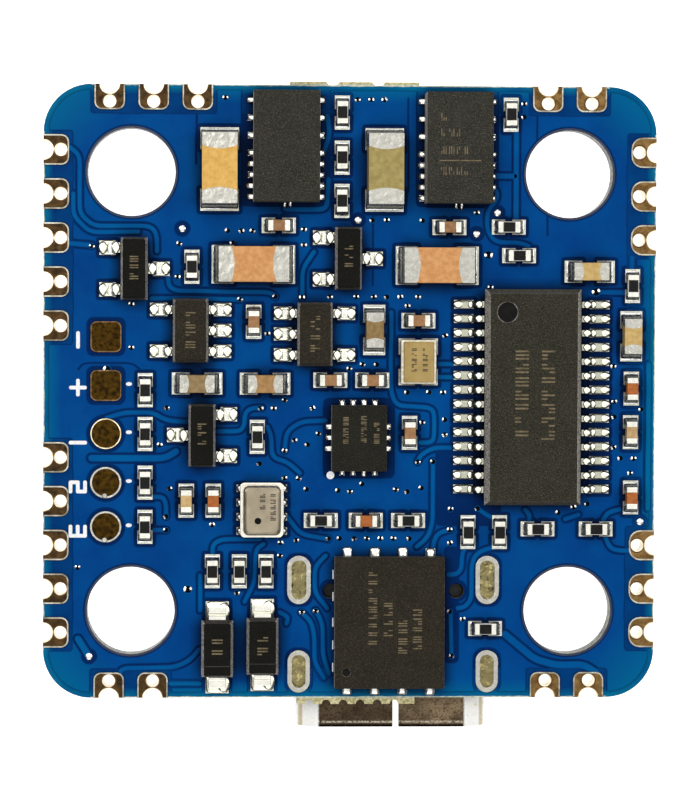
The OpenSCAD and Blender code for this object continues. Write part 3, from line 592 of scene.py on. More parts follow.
# Each material of the CAD nodes, and the nodes that are made of it.
LOOKS = (
    (board_material(), "circuit_board"),
    (edge_gold(), "edge_pads"),
    (plain("gold_finish_dull", (36, 24, 5), (76, 54, 13), 0.2, (0.35, 0.6), 0.8, 0.008, 0.09, specular=0.1),
     "wire_pads"),
    (bright_metal("land_tin", (222, 224, 212), (0.2, 0.4), 0.2, 0.012, 0.1, (0.5, 0.5, 0.95), 0.5),
     "component_lands"),
    (TIN, "usb_slot_plating large_capacitor_ends filter_capacitor_ends esc_socket_anchors"),
    (SOLDER, "power_module_terminals flash_chip_terminals motion_sensor_terminals"),
    (bright_metal("slot_solder", (132, 122, 84), (0.18, 0.35), 0.5, 0.16), "usb_slot_solder"),
    (bright_metal("lead_dull", (186, 187, 168), (0.2, 0.36), 0.2, 0.01, 0.3), "osd_chip_leads"),
    (bright_metal("lead_tin", (236, 234, 222), (0.16, 0.3), 0.2, 0.008),
     "transistor_leads regulator_leads diode_terminals small_capacitor_ends resistor_ends mcu_leads"
     " boot_button_terminals"),
    (bright_metal("contact_gold", (216, 176, 92), (0.2, 0.32), 0.1, 0.004),
     "usb_contacts_upper usb_contacts_lower esc_socket_contacts status_led_ends"),
    (moulding("moulding_grey", (46, 46, 41), (122, 114, 98)), "power_module_left power_module_right"),
    (moulding("moulding_side_sheen", (43, 43, 36), (126, 114, 92), sheen_slope=0.97, flash=0.75), "osd_chip"),
    (moulding("moulding_brown", (40, 38, 32), (110, 92, 66), 0.4), "flash_chip regulators"),
    (moulding("moulding_dark", (33, 33, 28), (90, 84, 74), 0.3), "motion_sensor mcu_chip"),
    (moulding("moulding_black", (20, 20, 17), (66, 60, 50), 0.25, (0.4, 0.6)), "transistors diodes"),
    (ceramic("ceramic_tan", (214, 164, 78), (230, 184, 98)), "input_capacitor_tan"),
    (ceramic("ceramic_olive", (150, 132, 74), (174, 156, 94)), "input_capacitor_olive"),
    (ceramic("ceramic_orange", (200, 138, 80), (218, 160, 102)), "output_capacitors"),
    (ceramic("ceramic_sand", (190, 156, 92), (208, 176, 112),
             (-20, -5, *ALL, (132, 110, 70), (154, 130, 88)), (-5, 0, *ALL, (156, 118, 68), (176, 136, 84)),
             (0, 5, *ALL, (128, 102, 60), (150, 122, 76))), "filter_capacitors"),
    (ceramic("ceramic_brown", (146, 104, 66), (170, 126, 84),
             (12, 20, *ALL, (158, 84, 30), (184, 106, 44)),
             (12, 20, -2.6, -1, (176, 140, 96), (198, 164, 120)),
             (*ALL, -20, -4.5, (158, 84, 30), (184, 106, 44)),
             (-20, -7, -20, -4, (190, 154, 100), (214, 180, 126))),
     "small_capacitors"),
    (plain("alumina", (206, 204, 196), (236, 234, 226), 0.15, (0.5, 0.65)),
     "resistor_cores status_led_bases"),
    (plain("black_glaze", (8, 8, 7), (20, 19, 17), 0.2, (0.25, 0.4), 0.0, 0.006, 0.12, specular=0.15),
     "resistor_coats"),
    (plain("crystal_rim", (214, 204, 176), (250, 246, 228), 0.2, (0.3, 0.5), 0.3), "osd_crystal_base"),
    (plain("ceramic_base", (150, 122, 60), (206, 178, 106), 0.25, (0.35, 0.5), 0.3), "mcu_crystal_base"),
    (brushed("lid_gold", (147, 125, 77), (168, 145, 95), (0.32, 0.5)), "osd_crystal_lid"),
    (brushed("lid_silver", (178, 178, 174), (208, 208, 204)), "mcu_crystal_lid"),
    (brushed("lid_champagne", (144, 133, 112), (169, 158, 136), (0.32, 0.5)), "barometer_lid"),
    (brushed("lid_rim", (214, 208, 192), (246, 242, 230), (0.14, 0.26)), "barometer_base"),
    (brushed("spring_steel", (170, 170, 168), (206, 206, 202)),
     "usb_mid_plate boot_button_cover boot_button_dome"),
    (shell_steel(), "usb_shell"),
    (plain("nylon_black", (14, 14, 15), (28, 28, 29), 0.3, (0.45, 0.6), 0.0, 0.006, 0.05, specular=0.25),
     "usb_insulator boot_button_base"),
    (plain("nylon_cream", (216, 204, 170), (232, 222, 192), 1.2, (0.42, 0.55), 0.0, 0.006, 0.06),
     "esc_socket_housing"),
    (plain("button_plastic", (214, 208, 192), (232, 228, 214), 0.6, (0.35, 0.5), 0.0, 0.004, 0.06),
     "boot_button_plunger"),
    (plain("led_lens", (206, 220, 230), (232, 240, 246), 0.5, (0.08, 0.16), 0.0, 0.002, 0.1, 0.5),
     "status_led_lenses"),
)

# Width of the broken edges of the nodes, where it isn't the usual one.
USUAL_EDGE = 0.025
EDGES = {
    0: "circuit_board edge_pads component_lands usb_slot_solder boot_button_dome",
    0.008: "wire_pads",
    0.015: "usb_slot_plating",
    0.02: "input_capacitor_tan input_capacitor_olive output_capacitors",
    0.03: "barometer_lid",
    0.04: "mcu_chip",
    0.045: "transistors regulators diodes",
    0.05: "osd_chip_leads transistor_leads regulator_leads",
    0.055: "resistor_ends",
    0.06: "small_capacitor_ends",
    0.07: "osd_chip filter_capacitor_ends",
    0.08: "esc_socket_housing",
    0.09: "large_capacitor_ends",
}


def dress_frame():
    """Every CAD node takes its material, and its sharp edges are broken as on a real part."""
    looks = {name: material for material, names in LOOKS for name in names.split()}
    edges = {name: width for width, names in EDGES.items() for name in names.split()}
    for name, node in NODES.items():
        node.data.materials.clear()
        node.data.materials.append(looks[name])
        width = edges.get(name, USUAL_EDGE)
        if width:
            node.modifiers.new("weld", "WELD").merge_threshold = 1e-6
            flat = node.modifiers.new("flat", "DECIMATE")
            flat.decimate_type = "DISSOLVE"
            flat.angle_limit = math.radians(2)
            edge = node.modifiers.new("edge", "BEVEL")
            edge.width, edge.segments, edge.use_clamp_overlap = width * MM, 2, True
            edge.limit_method, edge.angle_limit = "ANGLE", math.radians(35)


dress_frame()


# ---------- copper under the mask, on both faces ----------

MOAT = 0.16                                     # bare gap beside a track or pad
FLARE = 0.06                                    # width of the slope at the edge of copper under mask
VIA_R, WIDE_VIA_R = 0.15, 0.22

# Vias as (x, y), by area of the board. The bright ones are left free of mask.
VIAS = [
    (-7.83, 6.75), (-7.9, 5.25), (-11.8, 6.62), (-5.63, 7.35), (-5.0, 7.35), (-4.5, 7.35), (-5.4, 6.8),
    (0.28, 13.35), (0.9, 13.35), (1.5, 13.35), (-5.75, 13.4), (-2.15, 7.43), (-2.15, 6.72), (0.97, 7.85),
    (1.63, 7.87), (3.27, 7.85), (-3.45, 4.36), (-2.23, 4.33), (-0.95, 4.36), (0.25, 4.36), (1.05, 4.36),
    (1.65, 4.36), (2.27, 4.36), (3.08, 4.36), (7.9, 13.2), (7.9, 12.6), (5.75, 8.22), (6.4, 4.82),
    (-10.0, 4.0), (-10.0, 2.0), (-8.38, -0.73), (-8.7, -2.43), (-8.25, -4.43), (-5.05, 4.23),
    (-3.8, 2.67), (0.55, 1.27), (1.2, 1.27), (-0.05, 1.08), (2.6, 3.95), (4.33, 2.6), (2.6, 0.0),
    (3.6, 0.0), (4.25, 0.0), (-3.0, -0.37), (-4.1, -0.75), (-3.5, -0.75), (-1.73, -0.73), (-1.45, -1.9),
    (-2.55, -2.2), (-1.95, -2.4), (-3.0, -2.68), (-4.15, -3.28), (-3.0, -3.93), (-2.35, -3.95),
    (-2.0, -4.45), (3.3, -1.37), (4.33, -1.25), (4.33, -1.93), (3.1, -3.18), (3.8, -3.17), (-0.55, -4.5),
    (0.0, -4.55), (0.55, -4.2), (2.1, -4.45), (2.62, -4.55), (3.27, -4.38), (12.07, 1.22), (12.12, -0.4),
    (12.12, -1.1), (12.1, -2.5), (12.42, -3.0), (13.03, -3.02), (13.37, -0.75), (12.87, -3.68),
    (-12.43, -8.03), (-8.4, -5.7), (-8.4, -6.32), (-6.3, -6.08), (-5.15, -9.2), (-0.97, -6.7),
    (-0.47, -6.7), (0.2, -6.7), (0.78, -6.7), (1.4, -6.7), (2.0, -6.7), (2.73, -6.7), (-3.17, -6.9),
    (-2.45, -6.78), (-3.2, -7.5), (-2.18, -10.07), (-1.55, -10.03), (4.62, -5.35), (4.58, -6.3),
    (4.6, -6.9), (4.6, -10.05), (4.7, -12.1), (5.85, -5.32), (9.57, -5.5), (10.27, -5.25), (10.9, -5.1),
    (5.2, -10.4),
]
BRIGHT_VIAS = [(-7.69, 7.43), (0.32, 7.85), (6.7, 8.22), (5.75, 7.25), (-11.9, -12.1), (13.35, -5.92)]
WIDE_VIAS = [(6.3, 6.3), (-11.1, 1.0), (-7.4, -9.03), (11.25, 4.62)]

# Tracks on the upper face: width, then the points that they run through.
TRACKS = [
    (0.16, (-12.8, 11.1), (-12.36, 10.75), (-12.36, 8.1), (-11.73, 7.54), (-9.14, 7.54), (-8.86, 7.2),
     (-8.86, 6.4)),
    (0.16, (-12.65, 9.0), (-12.65, 8.0), (-11.9, 7.26), (-9.7, 7.26)),
    (0.18, (-12.8, 6.74), (-11.8, 6.66)),
    (0.16, (-8.34, 5.2), (-8.3, 4.8), (-7.94, 4.58), (-3.7, 4.58), (-3.45, 4.36)),
    (0.16, (-9.1, 4.25), (-5.07, 4.22)),
    (0.16, (-2.22, 4.3), (-2.22, 5.6), (-1.68, 6.4)),
    (0.18, (-1.1, 12.6), (-1.0, 11.7), (-1.3, 10.9)),
    (0.18, (-3.0, 8.35), (-1.1, 8.35), (-1.05, 9.7)),
    (0.2, (7.55, 11.85), (7.55, 8.0)),
    (0.2, (6.46, 9.9), (7.5, 9.9)),
    (0.16, (6.46, 9.38), (6.66, 9.2), (6.66, 8.8), (6.23, 8.35), (6.23, 7.43), (6.58, 6.9),
     (7.73, 6.85), (8.13, 6.7)),
    (0.16, (1.85, 3.65), (1.85, 0.0), (2.1, -0.6), (3.7, -0.7), (3.85, -1.0), (3.85, -2.1), (3.7, -2.3),
     (3.2, -2.3)),
    (0.18, (12.9, 6.2), (12.9, 5.7)),
    (0.18, (12.6, 4.6), (11.25, 4.62)),
    (0.16, (4.0, 1.3), (4.7, 1.3)),
    (0.16, (4.0, 0.7), (4.7, 0.7)),
    (0.2, (13.7, 1.3), (13.7, -5.3)),
    (0.16, (-11.1, -1.2), (-10.3, -0.95), (-9.0, -0.95), (-8.45, -1.3), (-7.4, -1.4)),
    (0.26, (-11.8, -3.04), (-8.45, -3.04), (-7.94, -2.73)),
    (0.16, (-9.0, -4.8), (-8.55, -4.8), (-8.4, -5.1), (-8.4, -5.7)),
    (0.16, (-9.0, -6.32), (-8.4, -6.32)),
    (0.16, (-6.16, -1.8), (-5.0, -1.8), (-4.83, -1.5), (-4.83, -1.0), (-4.55, -0.73), (-4.03, -0.72)),
    (0.16, (-3.8, -1.6), (-3.62, -2.0), (-3.58, -3.0), (-2.85, -3.2), (-2.3, -3.7)),
    (0.16, (-1.1, -1.3), (-2.25, -1.35), (-2.9, -1.8), (-3.0, -2.67)),
    (0.16, (-4.1, -6.7), (-5.93, -6.75), (-6.27, -7.0), (-6.27, -7.37)),
    (0.16, (-3.95, -6.95), (-4.3, -7.2), (-4.35, -8.7), (-4.8, -9.6)),
    (0.16, (-6.83, -8.4), (-6.83, -10.0)),
    (0.16, (-2.9, -5.7), (-2.25, -6.5), (-1.0, -6.72)),
    (0.16, (-1.1, -7.5), (-1.6, -8.0), (-1.6, -9.2), (-1.0, -9.9)),
    (0.16, (-2.2, -10.1), (-1.75, -10.5), (-1.6, -11.2), (-1.6, -12.4), (-1.15, -13.1)),
    (0.16, (-1.55, -10.0), (-1.22, -10.6), (-1.2, -12.1), (-0.9, -12.9)),
    (0.26, (-12.4, -11.3), (-11.9, -12.1)),
    (0.16, (-10.5, -12.95), (-10.4, -12.65), (-8.0, -12.6), (-7.3, -12.3), (-6.85, -11.8)),
    (0.16, (-8.2, -13.35), (-6.85, -13.35)),
    (0.16, (-3.2, -10.1), (-2.8, -10.3), (-2.9, -10.6)),
    (0.16, (4.63, -2.53), (3.82, -2.53), (3.25, -2.85), (3.1, -3.18)),
    (0.16, (3.8, -3.17), (3.8, -5.94), (3.6, -6.63), (3.08, -7.1)),
    (0.16, (4.58, -6.3), (4.05, -6.45), (3.85, -6.85), (3.83, -7.2)),
    (0.16, (5.35, -7.05), (5.15, -7.4), (5.15, -8.1), (4.9, -8.35), (4.5, -8.35)),
    (0.16, (6.6, -7.1), (5.9, -7.3), (5.6, -7.8), (5.6, -9.5), (5.3, -9.85), (4.97, -9.9)),
    (0.16, (4.63, -10.05), (4.68, -12.1)),
    (0.28, (7.15, -11.1), (8.53, -12.25), (9.56, -12.53), (10.8, -12.5), (11.4, -12.9)),
    (0.16, (5.9, -5.35), (6.45, -5.7)),
    (0.16, (8.05, -5.35), (8.25, -5.6), (8.25, -5.9)),
    (0.16, (10.5, -5.6), (9.9, -5.8)),
    (0.16, (12.4, -5.35), (11.85, -5.5), (11.65, -5.85)),
    (0.16, (11.75, -6.65), (11.95, -7.1), (12.3, -7.25), (12.9, -7.25)),
]

# Gaps between pours that no track runs in, and the wider areas with no copper.
GAPS = [
    (0.16, (-7.05, 12.8), (-7.05, 10.4)),
    (0.14, (-12.4, 1.0), (-12.2, 1.3), (-9.95, 1.3), (-9.6, 1.0)),
    (0.14, (8.5, 13.4), (8.5, 10.6), (9.0, 9.4), (9.0, 7.2)),
    (0.14, (1.0, 4.9), (1.0, 8.4), (2.6, 9.0), (2.6, 13.4)),
]
BARE = [
    ((3.95, -6.1), (6.9, -2.6)), ((-5.0, 8.5), (-0.95, 13.8)), ((3.0, 8.5), (6.7, 13.8)),
    ((4.35, -12.4), (5.0, -7.1)), ((-1.2, -3.9), (2.0, -0.3)),
]


def flared(outline):
    """An outline at the board, and the wider one at the top of the mask."""
    return outline, inset(outline, -FLARE)


def carved(name, plate, outlines, low, high):
    """A plate of pour with openings cut through it, each with its outline at the board and at the top."""
    obj = piece(name, plate, MASK_POUR)
    scratch = bpy.data.collections.new("openings")
    for narrow, wide in outlines:
        down, up = (narrow, wide) if high > TOP / 2 else (wide, narrow)
        tool = Shape()
        tool.loft([level(down, low - 0.1), level(down, low), level(up, high), level(up, high + 0.1)])
        scratch.objects.link(bpy.data.objects.new("opening", mesh_of("opening", tool.verts, tool.faces)))
    cut = obj.modifiers.new("openings", "BOOLEAN")
    cut.operand_type, cut.collection, cut.solver = "COLLECTION", scratch, "EXACT"
    graph = bpy.context.evaluated_depsgraph_get()
    obj.data = bpy.data.meshes.new_from_object(obj.evaluated_get(graph))
    obj.modifiers.clear()
    for tool in list(scratch.objects):
        bpy.data.objects.remove(tool)
    bpy.data.collections.remove(scratch)


def keep_outs(upper):
    """Outlines round everything that the pour keeps clear of."""
    outlines = [circle(x, y, HOLE_R + 0.14, 40) for x, y in HOLES] + [circle(x, y, 0.5) for x, y in PEGS]
    outlines += [round_box(*grown(b, MOAT * 0.8), 0.12) for b in on_face(LANDS, upper)]
    outlines += [round_box(*grown(b, 0.1), 0.5, 8) for b in SLOTS]
    outlines += [round_box(*grown(b, MOAT), 0.12) for b in PADS]
    if upper:
        outlines += [round_box(*grown(b, MOAT), 0.3 if middle(b).y > -1 else 0.9, 8) for b in WIRE_PADS]
    return [flared(o) for o in outlines]


def pad_gaps():
    """Outlines of the strips between neighbouring edge pads, where nothing is poured."""
    gaps = []
    upper = [middle(b) for b in PADS if b[1].z > TOP]
    for c in upper:
        along = 1 if abs(c.x) > abs(c.y) else 0
        for d in upper:
            if abs(d[1 - along] - c[1 - along]) < 0.1 and 0 < d[along] - c[along] < 2.1:
                lo, hi = [0, 0], [0, 0]
                sign = math.copysign(1, c[1 - along])
                lo[1 - along], hi[1 - along] = sorted((sign * HALF, sign * (HALF - BETWEEN_PADS)))
                lo[along], hi[along] = c[along] + 0.5, d[along] - 0.5
                gaps.append(flared(round_box(lo, hi, 0.1)))
    return gaps


def pour_plate(z0, z1):
    plate, margin = Shape(), 0.27
    plate.prism(block(0, 0, HALF - margin, HALF - margin, CORNER_R - margin, 8), z0, z1)
    return plate


def via(rings, shade_discs, glints, at, r, z0, z1):
    """A ring of mask, a near-black disc of painted shade over the mouth of the hole, and glints of plating
    on its walls.
    """
    rings.ring(circle(*at, r, 16), circle(*at, r * 0.66, 16), z0, z1 + 0.004)
    # painted shade: a near-black disc over the via's mouth
    shade_discs.prism(circle(*at, r * 0.78, 14), z0, z1 + 0.008)
    for turn in (180, 0) if rng.random() < 0.7 else (180,):
        turn += rng.uniform(-30, 30)
        wide = rng.uniform(24, 44)
        outer, inner = (arc(*at, r * k, turn - wide, turn + wide, 5) for k in (0.86, 0.42))
        glints.ring(outer, inner, z0, z1 + 0.034, 0.02, False)


def upper_copper():
    """The pour, its tracks and its vias, all under the mask."""
    z0, foot_z, z1 = TOP - 0.01, TOP + 0.003, TOP + FILM
    outlines = keep_outs(True)
    outlines += [ribbon(bent(points), width / 2 + MOAT - FLARE, FLARE) for width, *points in TRACKS]
    outlines += [ribbon(bent(points), width / 2 - FLARE, FLARE) for width, *points in GAPS]
    outlines += [flared(round_box(lo, hi, 0.2)) for lo, hi in BARE]
    outlines += [flared(circle(x, y, 0.34, 16)) for x, y in BRIGHT_VIAS]
    carved("mask_pour_top", pour_plate(z0 + 0.005, z1), outlines + pad_gaps(), foot_z, z1)

    tracks, rings, shade_discs, glints = Shape(), Shape(), Shape(), Shape()
    for width, *points in TRACKS:
        top, foot = ribbon(bent(points), width / 2 - 0.01, FLARE)
        tracks.loft([level(foot, z0), level(foot, foot_z), level(top, z1)])
    piece("mask_tracks_top", tracks, MASK_TRACK)
    for at in VIAS + WIDE_VIAS:
        via(rings, shade_discs, glints, at, WIDE_VIA_R if at in WIDE_VIAS else VIA_R, z0, z1)
    for at in BRIGHT_VIAS:
        steps = (0.17, 0.0), (0.15, 0.03), (0.1, 0.05), (0.04, 0.058)
        glints.loft([level(circle(*at, r, 14), TOP + h) for r, h in steps])
    piece("mask_vias_top", rings, MASK_TRACK)
    piece("via_glints_top", glints, SOLDER)
    piece("via_shade_discs_top", shade_discs, VIA_SHADE)


def near(p, lo, hi, by):
    return lo[0] - by < p.x < hi[0] + by and lo[1] - by < p.y < hi[1] + by


def lower_copper():
    """The pour underneath, with a short track and a via led out from each pin of the processor that has room
    for one.
    """
    z0, z1 = -FILM, 0.01
    outlines = keep_outs(False)
    tracks, rings, shade_discs = Shape(), Shape(), Shape()
    chip = middle(box_mm("mcu_chip"))
    taken = on_face(LANDS, False)
    taken += [box_mm(n) for n in ("usb_shell", "esc_socket_housing", "boot_button_base", "mcu_crystal_base")]
    for k, (lo, hi) in enumerate(on_face(islands("mcu_leads"), False)):
        c = middle((lo, hi))
        axis = 0 if hi.x - lo.x > hi.y - lo.y else 1
        along = Vector((0, 0))
        along[axis] = math.copysign(1, c[axis] - chip[axis])
        side = Vector((-along.y, along.x)) * rng.choice((-0.35, 0.0, 0.35))
        foot = c.xy + along * 0.4
        steps = (0, 0), (0.35, 0), (0.35 + side.length, 1), (1.3 + 0.5 * (k % 3), 1)
        points = [foot + along * far + side * aside for far, aside in steps]
        end = points[-1]
        if max(abs(end.x), abs(end.y)) > HALF - 2 or any(near(end, a, b, 0.4) for a, b in taken) \
                or any(near(end, at, at, 2.6) for at in HOLES):
            continue
        points = [p for i, p in enumerate(points) if i == 0 or (p - points[i - 1]).length > 1e-4]
        outlines.append(ribbon(points, 0.08 + MOAT * 0.8 - FLARE, FLARE))
        tracks.prism(ribbon(points, 0.08), z0 - 0.004, z1)
        rings.ring(circle(*end, 0.155, 16), circle(*end, 0.08, 16), z0 - 0.012, z1)
        # painted shade: a near-black disc over the via's mouth
        shade_discs.prism(circle(*end, 0.1, 12), z0 - 0.014, z1)
    carved("mask_pour_bottom", pour_plate(z0, z1 - 0.005), outlines, z0, -0.003)
    piece("mask_tracks_bottom", tracks, MASK_TRACK)
    piece("mask_vias_bottom", rings, MASK_TRACK)
    piece("via_shade_discs_bottom", shade_discs, VIA_SHADE)


upper_copper()
lower_copper()


# ---------- solder ----------

CAPSULE_R = 0.19                                # corner radius of the solder round a lead's foot
SINK = 0.01                                     # how far solder reaches into the land under it
TURNS = [k * math.pi / 8 for k in range(16)]


def footing(land):
    """Height just inside a land's outer face, and 1 on the board's upper face or -1 on the lower one."""
    upper = middle(land).z > TOP / 2
    return (land[1].z - SINK, 1) if upper else (land[0].z + SINK, -1)


def way_in(part, ends):
    """Axis and sign of the way from a part's metal end to its twin."""
    c = middle(part)
    gap = min((middle(p) - c for p in ends if p is not part), key=lambda v: v.length)
    axis = 0 if abs(gap.x) > abs(gap.y) else 1
    return axis, math.copysign(1, gap[axis])


def end_solder(shape, node, height):
    """Fillets drawn up from the lands to the metal ends of the two-ended parts in a node."""
    ends, steps = islands(node), 9
    for part in ends:
        c = middle(part)
        land = next((b for b in on_face(LANDS, c.z > TOP / 2) if near(c, *b, 0.02)), None)
        if not land:
            continue
        axis, sign = way_in(part, ends)
        head = [list(corner) for corner in grown(part, 0.012)]
        inner = int(sign > 0)
        head[inner][axis] = part[inner][axis] - sign * 0.05
        z0, up = footing(land)
        tall = (part[1].z - part[0].z) * height * rng.uniform(0.85, 1.12)
        power = rng.uniform(2.6, 3.6)
        rings = []
        for s in (k / steps for k in range(steps + 1)):
            box = [[land[j][i] + (head[j][i] - land[j][i]) * s for i in (0, 1)] for j in (0, 1)]
            box[inner][axis] = head[inner][axis]
            rings.append(level(round_box(*box, 0.05 + 0.04 * (1 - s), 3), z0 + up * tall * s ** power))
        shape.loft(rings)


def lead_solder(shape, node, height):
    """Low pillows of solder round the feet of gull-wing leads, with a bead at the toe of each."""
    done = set()
    for part in islands(node):
        for land in on_face(LANDS, middle(part).z > TOP / 2):
            overlap = all(min(part[1][i], land[1][i]) - max(part[0][i], land[0][i]) > 0.02 for i in (0, 1))
            if not overlap or id(land) in done:
                continue
            done.add(id(land))
            rise = height * rng.uniform(0.8, 1.2)
            z0, up = footing(land)
            reach = [(land[1][i] - land[0][i]) / 2 for i in (0, 1)]
            rings = []
            for a in (k * math.pi / 10 for k in range(6)):
                box = grown(land, -0.84 * min(reach) * (1 - math.cos(a)))
                rings.append(level(round_box(*box, CAPSULE_R), z0 + up * rise * math.sin(a)))
            shape.loft(rings)
            axis = 0 if reach[0] > reach[1] else 1
            centre, half = list(middle(land).xy), [0, 0]
            half[axis], half[1 - axis] = min(0.32, reach[axis] * 0.6), reach[1 - axis] * 0.9
            outward = math.copysign(1, centre[axis] - middle(part)[axis])
            centre[axis] += outward * (reach[axis] - half[axis] * 0.75)
            toe = [(centre[0] + half[0] * math.cos(a), centre[1] + half[1] * math.sin(a)) for a in TURNS]
            shape.mound(toe, z0, up * (height + 0.05) * rng.uniform(0.9, 1.1), 0.38, 8)


def lead_beads(shape, node, body, *spots):
    """Tin on the bends of leads along x; spots are (distance from body, half length, on shoulder)."""
    bodies = [middle(b) for b in islands(body)]
    for lo, hi in islands(node):
        c = middle((lo, hi))
        sign = math.copysign(1, c.x - min(bodies, key=lambda b: (b - c).length).x)
        wall, half = (lo.x if sign > 0 else hi.x), (hi.y - lo.y) / 2 * 1.18
        for away, long, shoulder in spots:
            at = wall + sign * away
            outline = [(at + long * rng.uniform(0.9, 1.1) * math.cos(a), c.y + half * math.sin(a))
                       for a in TURNS]
            shape.mound(outline, hi.z - 0.05 if shoulder else lo.z + 0.09, 0.11, 0.35, 8)


def leadless_solder(shape, node, body, height):
    """Beads of solder at the terminals of a chip that has no leads."""
    low, high = box_mm(body)
    for lo, hi in islands(node):
        if any(lo[i] > high[i] + 0.1 or hi[i] < low[i] - 0.1 for i in (0, 1)):
            continue
        out = [max(hi.x - high.x, 0), max(low.x - lo.x, 0), max(hi.y - high.y, 0), max(low.y - lo.y, 0)]
        side = out.index(max(out))
        if out[side] < 0.02:
            continue
        axis, wall = side // 2, (high.x, low.x, high.y, low.y)[side]
        reach = [0, 0]
        reach[axis] = out[side] + rng.uniform(0.02, 0.08)
        reach[1 - axis] = (hi[1 - axis] - lo[1 - axis]) / 2 * rng.uniform(0.9, 1.1)
        c = middle((lo, hi)).xy
        c[axis] = wall
        shape.mound(block(*c, *reach, 0.1, 3), TOP, height * rng.uniform(0.85, 1.1), 0.7)


def solder_work():
    ends, feet, rows = Shape(), Shape(), Shape()
    for node, height in (("large_capacitor_ends", 0.42), ("filter_capacitor_ends", 0.62),
                         ("small_capacitor_ends", 0.72), ("resistor_ends", 0.8), ("status_led_ends", 0.6)):
        end_solder(ends, node, height)
    piece("solder_at_ends", ends, SOLDER, smooth=True)
    for node in ("transistor_leads", "regulator_leads", "diode_terminals", "osd_chip_leads", "mcu_leads"):
        lead_solder(feet, node, 0.09)
    lead_beads(feet, "osd_chip_leads", "osd_chip", (0.27, 0.18, True), (0.62, 0.14, False))
    lead_beads(feet, "transistor_leads", "transistors", (0.22, 0.19, True))
    lead_beads(feet, "regulator_leads", "regulators", (0.22, 0.18, True))
    piece("solder_at_leads", feet, BEAD, smooth=True, crease=55)
    for node, body, height in (("power_module_terminals", "power_module_left", 0.16),
                               ("power_module_terminals", "power_module_right", 0.16),
                               ("flash_chip_terminals", "flash_chip", 0.16),
                               ("motion_sensor_terminals", "motion_sensor", 0.14)):
        leadless_solder(rows, node, body, height)
    low, high = box_mm("barometer_base")
    for lo, hi in on_face(LANDS, True):
        c = middle((lo, hi))
        if low.y < c.y < high.y and min(abs(c.x - low.x), abs(c.x - high.x)) < 0.12:
            reach = (hi.x - lo.x) / 2 * rng.uniform(0.95, 1.1), (hi.y - lo.y) / 2 * rng.uniform(0.9, 1.05)
            rows.mound(block(c.x, c.y, *reach, 0.12, 3), TOP, 0.22, 0.6)
    piece("solder_at_chips", rows, SOLDER, smooth=True, crease=55)


solder_work()


# ---------- pads, holes and marks ----------

def pad_rims():
    """Bright rims along the edge pads, painted highlights of their rounded edges, dark rings round their
    holes, and the plating of both openings.
    """
    rims, rings, linings = Shape(), Shape(), Shape()
    z = TOP + COPPER
    for lo, hi in PADS:
        if hi.z < TOP:
            continue
        c = middle((lo, hi))
        across = 0 if abs(c.x) > abs(c.y) else 1
        sign = math.copysign(1, c[across])

        def at(depth, along):
            """A point on the pad: depth in from the board's edge, along it from the pad's middle."""
            p = [0, 0]
            p[across], p[1 - across] = sign * (HALF - depth), c[1 - across] + along
            return tuple(p)

        half = (hi[1 - across] - lo[1 - across]) / 2 - 0.03
        deep = hi[across] - lo[across] - 0.03
        r = (RIGHT_PAD_CORNER_R if across == 0 and sign > 0 else PAD_CORNER_R) - 0.03
        corners = arc(deep - r, -half + r, r, -90, 0, 5) + arc(deep - r, half - r, r, 0, 90, 5)
        path = [at(*p) for p in [(0.04, -half)] + corners + [(0.04, half)]]
        # painted highlight: a pale rim along the pad's outline
        rims.prism(upright(ribbon(path, 0.035)), TOP, z + 0.014, 0.01)
        outer, inner, wall = (circle(*at(PAD_HOLE_IN, 0), PAD_HOLE_R + by) for by in (0.08, 0.02, -0.012))
        rings.ring(outer, inner, TOP, z + 0.006)
        linings.ring(inner, wall, 0.0, z + 0.012)
        facing = math.degrees(math.atan2(*(Vector(at(1, 0)) - Vector(at(0, 0))).yx))
        outer, inner = (arc(*at(0, 0), NOTCH_R + by, facing - 88, facing + 88, 18) for by in (0.03, -0.012))
        linings.ring(outer, inner, 0.0, z + 0.01, closed=False)
    piece("pad_rims", rims, PAD_RIM_HIGHLIGHT)
    piece("pad_hole_rings", rings, GOLD_BROWN)
    piece("pad_linings", linings, PALE_GOLD_AND_HIGHLIGHT)


def wire_pad_rims():
    """Rims of the wire pads, painted highlights along their edges, and glints of tin on the ones nearest the
    front.
    """
    rims, bright, glints = Shape(), Shape(), Shape()
    z = TOP + COPPER
    for box in WIRE_PADS:
        c, half = middle(box), (box[1].x - box[0].x) / 2
        corner = 0.28 if c.y > -1 else half
        if c.y > -3.5:
            outer, inner = (round_box(*grown(box, -by), corner - by, 8) for by in (0.0, 0.05))
            # painted highlight: a soft rim on the square pads, a brighter one on the first round pad
            (rims if c.y > -1 else bright).ring(outer, inner, TOP, z + 0.01)
        else:
            glints.ring(circle(c.x, c.y, half + 0.01, 40), circle(c.x, c.y, half - 0.07, 40), TOP, z + 0.014)
            glints.prism(circle(c.x - 0.05, c.y - half + 0.1, 0.13, 14), TOP, z + 0.04, 0.03)
    piece("wire_pad_rims", rims, GOLD_RIM_HIGHLIGHT)
    piece("wire_pad_bright_rims", bright, PALE_GOLD_AND_HIGHLIGHT)
    piece("wire_pad_glints", glints, TIN)


def hole_rims():
    """The mask stops just short of each mounting hole, and the drill has left a fine ridge."""
    rims = Shape()
    for x, y in HOLES:
        for z0, z1 in ((TOP - 0.01, TOP + 0.008), (-0.008, 0.01)):
            rims.ring(circle(x, y, HOLE_R + 0.1, 64), circle(x, y, HOLE_R, 64), z0, z1)
    piece("hole_rims", rims, RIM_DARK)


def bars(shape, z, *marks):
    """Printed bars: x, y, width, height of each. No two tops lie in one plane where bars cross."""
    for k, (x, y, w, h) in enumerate(marks):
        shape.prism(block(x, y, w / 2, h / 2, min(w, h) * 0.45), z - 0.008, z + 0.006 + 0.0012 * (k % 7))


